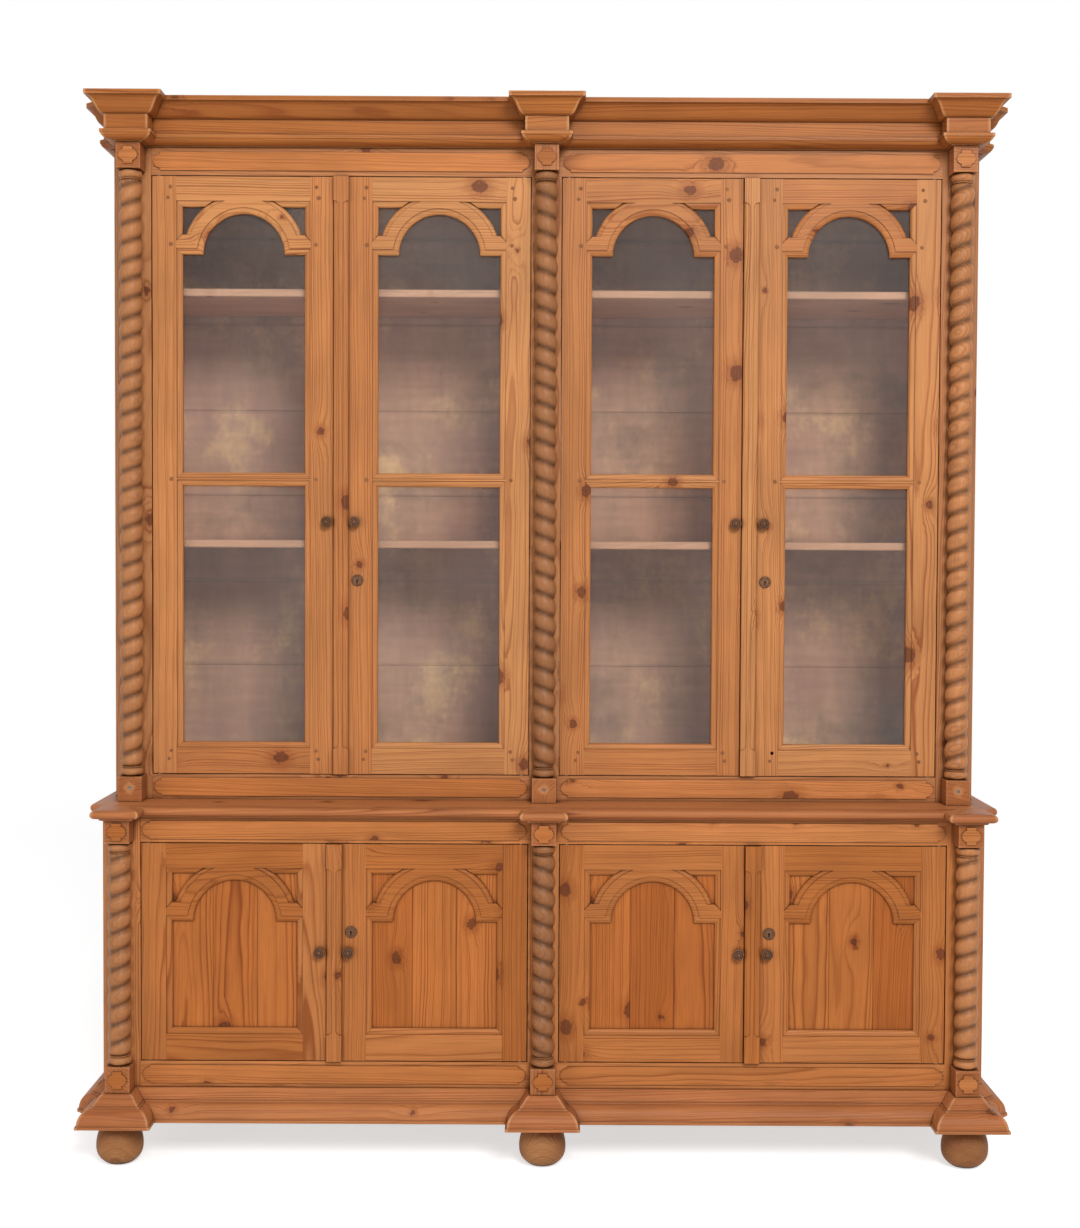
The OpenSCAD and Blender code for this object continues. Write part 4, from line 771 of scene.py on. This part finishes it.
def twist_tree():
    tree, size = new_tree("barley twist", ("Length", "Rise", "Groove radius", "Strand radius",
                                           "Fatness", "Hand", "Turns"), ("Rows",))
    grid = add(tree, "GeometryNodeMeshGrid",
               {"Size X": 1.0, "Size Y": 1.0, "Vertices X": 41, "Vertices Y": size["Rows"]})
    spot = add(tree, "GeometryNodeInputPosition")
    spot = add(tree, "SeparateXYZ", {0: spot}).node.outputs
    around, up = [add(tree, "Math", {0: spot[i], 1: 0.5}, operation="ADD") for i in (0, 1)]
    total = add(tree, "Math", {0: size["Turns"], 1: 1.0}, operation="ADD")
    phase = add(tree, "Math", {0: up, 1: total, 2: -1.0}, operation="MULTIPLY_ADD")
    climb = add(tree, "Math", {0: phase, 1: around}, operation="ADD")
    height = add(tree, "Math", {0: climb, 1: size["Rise"]}, operation="MULTIPLY")
    height = add(tree, "Clamp", {"Value": height, "Min": 0.0, "Max": size["Length"]})
    share = add(tree, "Math", {0: phase, 1: 1.0}, operation="ADD")
    share = add(tree, "Math", {0: share}, operation="FRACT")
    share = add(tree, "Math", {0: share, 1: math.pi}, operation="MULTIPLY")
    swell = add(tree, "Math", {0: share}, operation="SINE")
    swell = add(tree, "Math", {0: swell}, operation="ABSOLUTE")
    swell = add(tree, "Math", {0: swell, 1: size["Fatness"]}, operation="POWER")
    left = add(tree, "Math", {0: size["Length"], 1: height}, operation="SUBTRACT")
    end = add(tree, "Math", {0: left, 1: height}, operation="MINIMUM")
    fade = add(tree, "MapRange", {"Value": end, "From Max": 0.006})
    swell = add(tree, "Math", {0: swell, 1: fade}, operation="MULTIPLY")
    stand = add(tree, "Math", {0: size["Strand radius"], 1: size["Groove radius"]},
                operation="SUBTRACT")
    radius = add(tree, "Math", {0: swell, 1: stand, 2: size["Groove radius"]},
                 operation="MULTIPLY_ADD")
    angle = add(tree, "Math", {0: around, 1: 2 * math.pi}, operation="MULTIPLY")
    angle = add(tree, "Math", {0: angle, 1: size["Hand"]}, operation="MULTIPLY")
    round_it = [add(tree, "Math", {0: angle}, operation=way) for way in ("COSINE", "SINE")]
    x, y = [add(tree, "Math", {0: way, 1: radius}, operation="MULTIPLY") for way in round_it]
    rolled = add(tree, "CombineXYZ", {0: x, 1: y, 2: height})
    tube = add(tree, "GeometryNodeSetPosition", {"Geometry": grid, "Position": rolled})
    tube = add(tree, "GeometryNodeMergeByDistance", {"Geometry": tube, "Distance": 0.00002})
    tube = add(tree, "GeometryNodeRealizeInstances", {"Geometry": tube})
    tube = add(tree, "GeometryNodeSetMaterial", {"Geometry": tube, "Material": size["Finish"]})
    add(tree, "NodeGroupOutput", {"Geometry": tube})
    return tree


TWIST = twist_tree()


def from_tree(name, tree, sizes, start=None):
    """Runs a node tree with these named sizes and gives the plain mesh."""
    maker = linked(name, start or bpy.data.meshes.new(name))
    modifier = maker.modifiers.new(name, "NODES")
    modifier.node_group = tree
    for item in tree.interface.items_tree:
        if item.in_out == "INPUT" and item.name in sizes:
            modifier[item.identifier] = sizes[item.name]
    return evaluated(maker)


# %% [markdown]
# The bulbs, the feet and the knobs are turned on a lathe: one outline goes once round the
# axis. The same function makes all of them, and closes the shape on the axis.

# %% Lathe and join helpers
def smooth_mesh(name, shape):
    """The mesh of a bmesh, smooth and with its faces turned outwards; the bmesh is freed."""
    bmesh.ops.recalc_face_normals(shape, faces=shape.faces)
    mesh = bpy.data.meshes.new(name)
    shape.to_mesh(mesh)
    shape.free()
    mesh.shade_smooth()
    return mesh


def turned(outline, steps=48):
    """Turns an outline of (radius, height) points round Z into a closed mesh."""
    shape = bmesh.new()
    rings = []
    for radius, height in outline:
        if radius < 1e-6:
            rings.append([shape.verts.new((0, 0, height))])
        else:
            rings.append([shape.verts.new((radius * math.cos(2 * math.pi * i / steps),
                                           radius * math.sin(2 * math.pi * i / steps), height))
                          for i in range(steps)])
    for low, high in zip(rings, rings[1:]):
        for i in range(steps):
            j = (i + 1) % steps
            corners = [low[i % len(low)], low[j % len(low)], high[j % len(high)],
                       high[i % len(high)]]
            corners = [c for k, c in enumerate(corners) if c not in corners[:k]]
            if len(corners) > 2:
                shape.faces.new(corners)
    bmesh.ops.remove_doubles(shape, verts=shape.verts, dist=1e-6)
    return smooth_mesh("turned", shape)


def curve_through(points, steps):
    """Points of a smooth curve through these points, for the outlines of the turner."""
    points = [np.array(p, dtype=float) for p in points]
    ends = [2 * points[0] - points[1]] + points + [2 * points[-1] - points[-2]]
    out = []
    for a, b, c, d in zip(ends, ends[1:], ends[2:], ends[3:]):
        for k in range(steps):
            t = k / steps
            out.append(0.5 * (2 * b + (c - a) * t + (2 * a - 5 * b + 4 * c - d) * t * t
                              + (3 * b - a - 3 * c + d) * t ** 3))
    return [tuple(p) for p in out] + [tuple(points[-1])]


def joined(name, parts):
    """One mesh from (mesh, matrix) pairs. Open ends are closed."""
    whole = bmesh.new()
    for mesh, matrix in parts:
        part = mesh.copy()
        part.transform(matrix)
        whole.from_mesh(part)
        bpy.data.meshes.remove(part)
    bmesh.ops.holes_fill(whole, edges=[e for e in whole.edges if e.is_boundary], sides=0)
    return smooth_mesh(name, whole)


# %% Make the columns
BULB = 0.019
RING = 0.003
LEAD = 0.002
STRAND = 0.0255
GROOVE = 0.019
CORE = GROOVE * 0.99
ROWS_A_TURN = 16
bulb_round = [(0.72, 0.0002 / BULB), (0.93, 0.2), (1.0, 0.5), (0.93, 0.8), (0.78, 1.0)]
bulb_ring = [(0.80, 0.0), (0.88, 0.5), (0.80, 1.0)]
bulb_outline = ([(0, 0), (STRAND * 0.72, 0)]
                + curve_through([(STRAND * r, BULB * z) for r, z in bulb_round], 4)
                + curve_through([(STRAND * r, BULB + RING * z) for r, z in bulb_ring], 3)
                + [(CORE, BULB + RING), (CORE, BULB + RING + 0.004), (0, BULB + RING + 0.004)])
bulb = turned(bulb_outline)


def make_columns(node, pitch):
    low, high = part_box(node)
    length = high[2] - low[2]
    shaft = length - 2 * (BULB + RING + LEAD)
    turns = math.floor(shaft / pitch)
    centre_y = (low[1] + high[1]) / 2
    parts = []
    half_w = (high[0] - low[0]) / 2 - STRAND
    for x in (-half_w, 0.0, half_w):
        hand = -1.0 if x == 0 else 1.0
        twist = from_tree("twist", TWIST, {
            "Length": shaft + 2 * LEAD, "Rise": (shaft + 2 * LEAD) / turns, "Groove radius": GROOVE,
            "Strand radius": STRAND, "Fatness": 0.95, "Hand": hand, "Turns": float(turns),
            "Rows": (turns + 1) * ROWS_A_TURN + 1, "Finish": FINISHES["column_pine"]})
        at = Matrix.Translation((x, centre_y, low[2]))
        upside_down = Matrix.Translation((0, 0, length)) @ Matrix.Rotation(math.pi, 4, "X")
        parts += [(twist, at @ Matrix.Translation((0, 0, BULB + RING))), (bulb, at),
                  (bulb, at @ upside_down)]
    mesh = joined(node + "_twist", parts)
    mark_boards(node, mesh, "pith", groups=lambda p: np.round(p[:, 0] / half_w).astype(int),
                grain=(0, 0, 1), tones={-1: 0.4, 0: 1.0, 1: 0.1})
    # How deep each point lies between the strands; the material darkens the groove by it, partly as
    # dark polish and partly as painted shade
    points = read(mesh.vertices, "co", 3)
    off_axis = points[:, 0] - np.round(points[:, 0] / half_w) * half_w
    depth = (STRAND - np.hypot(off_axis, points[:, 1] - centre_y)) / (STRAND - GROOVE)
    shaft_z = np.minimum(points[:, 2] - low[2], high[2] - points[:, 2]) > BULB + RING + LEAD
    mark(mesh, "groove_depth", np.clip(depth, 0, 1) * shaft_z)
    piece(node + "_twist", mesh, node, "column_pine")
    print(node, turns, "turns,", len(mesh.polygons), "faces")


make_columns("upper_columns", 0.041)
make_columns("lower_columns", 0.038)

# %% [markdown]
# ## Bun feet
# Six flattened balls, turned with the grain lying down, darkened by floor polish and knocks.

# %% Turn the feet
low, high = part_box("bun_feet")
FOOT_H = 0.092
FOOT_R = 0.05
SPIGOT_R = 0.012
foot_round = [(0.0185, 0.0004), (0.0300, 0.0040), (0.0425, 0.0150), (0.0482, 0.0260),
              (FOOT_R, 0.0390), (0.0487, 0.0550), (0.0430, 0.0740), (0.0330, 0.0875),
              (0.0245, FOOT_H)]
foot_outline = ([(0, 0), (0.017, 0)] + curve_through(foot_round, 5)
                + [(SPIGOT_R, FOOT_H), (SPIGOT_R, high[2]), (0, high[2])])
foot = turned(foot_outline, 64)
span = (high[0] - low[0]) / 2 - FOOT_R
feet = [(foot, Matrix.Translation((x, y, 0))) for x in (-span, 0.0, span)
        for y in (low[1] + FOOT_R, high[1] - FOOT_R)]
mesh = joined("bun_feet_turned", feet)
mark_boards("bun_feet", mesh, "pith", grain=(1, 0, 0))
piece("bun_feet_turned", mesh, "bun_feet", "foot_pine")
print(len(feet), "feet")

# %% [markdown]
# ## Knobs
# Small turned knobs of a darker wood. Their faces have two cut rings round a little button,
# and their spigots are glued into the stiles.

# %% Turn the knobs
KNOB_OUT = 0.024
spigot = [(0, -0.019), (0.0044, -0.019), (0.0044, 0.0), (0.0088, 0.0), (0.0089, 0.0014),
          (0.0080, 0.0028)]
neck = [(0.0066, 0.0036), (0.0058, 0.0062), (0.0068, 0.0095), (0.0098, 0.0119), (0.0120, 0.0145),
        (0.01225, 0.0168), (0.0116, 0.0190), (0.0100, 0.0206)]
button = [(0.0094, 0.0208), (0.0089, 0.0194), (0.0079, 0.0196), (0.0074, 0.0215),
          (0.0062, 0.0222), (0.0054, 0.0221), (0.0050, 0.0208), (0.0042, 0.0210),
          (0.0037, 0.0230), (0.0018, 0.0239), (0, KNOB_OUT)]
knob = turned(spigot + curve_through(neck, 4) + button, 40)
for name in sorted(n for n in NODES if SLOTS[n] == "knob_wood"):
    low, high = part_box(name)
    front = Matrix.Translation(((low[0] + high[0]) / 2, low[1] + KNOB_OUT, (low[2] + high[2]) / 2))
    mesh = joined(name, [(knob, front @ Matrix.Rotation(math.pi / 2, 4, "X"))])
    mark_boards(name, mesh, "pith", grain=(0, 1, 0))
    piece(name + "_turned", mesh, name, "knob_wood")
print("knobs turned")

# %% [markdown]
# ## Rims of the keyhole plates
# The round plates have a raised rim. It sits on the plate of the lock and rides with its door.

# %% Keyhole rims
RIM_R = 0.0112
KEYHOLE_IN = 0.0135
rim_outline = [(RIM_R - 0.0022, 0.0), (RIM_R - 0.0020, 0.0007), (RIM_R - 0.0010, 0.0013),
               (RIM_R, 0.0013), (RIM_R + 0.0011, 0.0006), (RIM_R + 0.0012, 0.0),
               (RIM_R - 0.0022, 0.0)]
rim = turned(rim_outline, 48)
for name in sorted(n for n in NODES if "_lock_" in n):
    low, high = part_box(name)
    keyhole_x = high[0] - KEYHOLE_IN
    plate = Matrix.Translation((keyhole_x, low[1], (low[2] + high[2]) / 2))
    mesh = joined(name + "_rim", [(rim, plate @ Matrix.Rotation(math.pi / 2, 4, "X"))])
    piece(name + "_rim", mesh, name, "aged_brass", hides=False)
print("rims at", round(keyhole_x, 4))

# %% [markdown]
# ## Pegs
# The joints of the glazed doors are pinned with small hardwood pegs, two at each corner and one
# at the arch and the bar. Their ends stand a hair proud, darker than the stile. Geometry Nodes
# set one peg on each point of a mesh, and give each its own turn and size.

# %% The pegs as a node tree
def peg_tree():
    tree, size = new_tree("pegs", ("Peg radius", "Proud", "Depth"))
    full = add(tree, "Math", {0: size["Proud"], 1: size["Depth"]}, operation="ADD")
    peg = add(tree, "GeometryNodeMeshCylinder",
              {"Vertices": 10, "Radius": size["Peg radius"], "Depth": full})
    back = add(tree, "Math", {0: size["Depth"], 1: size["Proud"]}, operation="SUBTRACT")
    back = add(tree, "Math", {0: back, 1: 0.5}, operation="MULTIPLY")
    shift = add(tree, "CombineXYZ", {1: back})
    turn = add(tree, "FunctionNodeRandomValue", {"Min": 0.0, "Max": 6.28, "Seed": 4}, out=1)
    lie = add(tree, "CombineXYZ", {0: math.pi / 2, 1: turn})
    grow = add(tree, "FunctionNodeRandomValue", {"Min": 0.85, "Max": 1.15, "Seed": 9}, out=1)
    grow = add(tree, "CombineXYZ", {0: grow, 1: grow, 2: 1.0})
    pegs = add(tree, "GeometryNodeInstanceOnPoints",
               {"Points": size["Geometry"], "Instance": peg, "Rotation": lie, "Scale": grow})
    pegs = add(tree, "GeometryNodeTranslateInstances",
               {"Instances": pegs, "Translation": shift, "Local Space": False})
    pegs = add(tree, "GeometryNodeRealizeInstances", {"Geometry": pegs})
    pegs = add(tree, "GeometryNodeSetMaterial", {"Geometry": pegs, "Material": size["Finish"]})
    add(tree, "NodeGroupOutput", {"Geometry": pegs})
    return tree


PEGS = peg_tree()
STILE = 0.053
MEETING_LEFT = 0.0495
RIGHT_OPENING_W = 0.295
DOOR_FACE = -0.0815
PEG_PLACES = ((2.1140, 0.013), (2.0905, 0.018), (1.9885, 0.012), (1.4730, 0.012),
              (0.8715, 0.013), (0.8535, 0.018))
for number in (1, 2, 3, 4):
    name = "glazed_door_%d" % number
    low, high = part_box(name)
    left, right = ((low[0] + STILE, high[0] - MEETING_LEFT) if number % 2
                   else (high[0] - STILE - RIGHT_OPENING_W, high[0] - STILE))
    spots = [(inner + away * back, DOOR_FACE, height)
             for inner, away in ((left, -1), (right, 1)) for height, back in PEG_PLACES]
    start = bpy.data.meshes.new(name + "_peg_points")
    start.from_pydata(spots, [], [])
    mesh = from_tree("pegs", PEGS, {"Peg radius": 0.0041, "Proud": 0.0004, "Depth": 0.004,
                                    "Finish": FINISHES["peg_wood"]}, start)
    mark_boards(name + "_pegs", mesh, "pith", grain=(0, 1, 0))
    piece(name + "_pegs", mesh, name, "peg_wood", hides=False)
    print(name, len(spots), "pegs")

# %% [markdown]
# ## The view transform
# Colours are shown through the Standard view transform.

# %% Set the view transform
bpy.context.scene.view_settings.view_transform = "Standard"
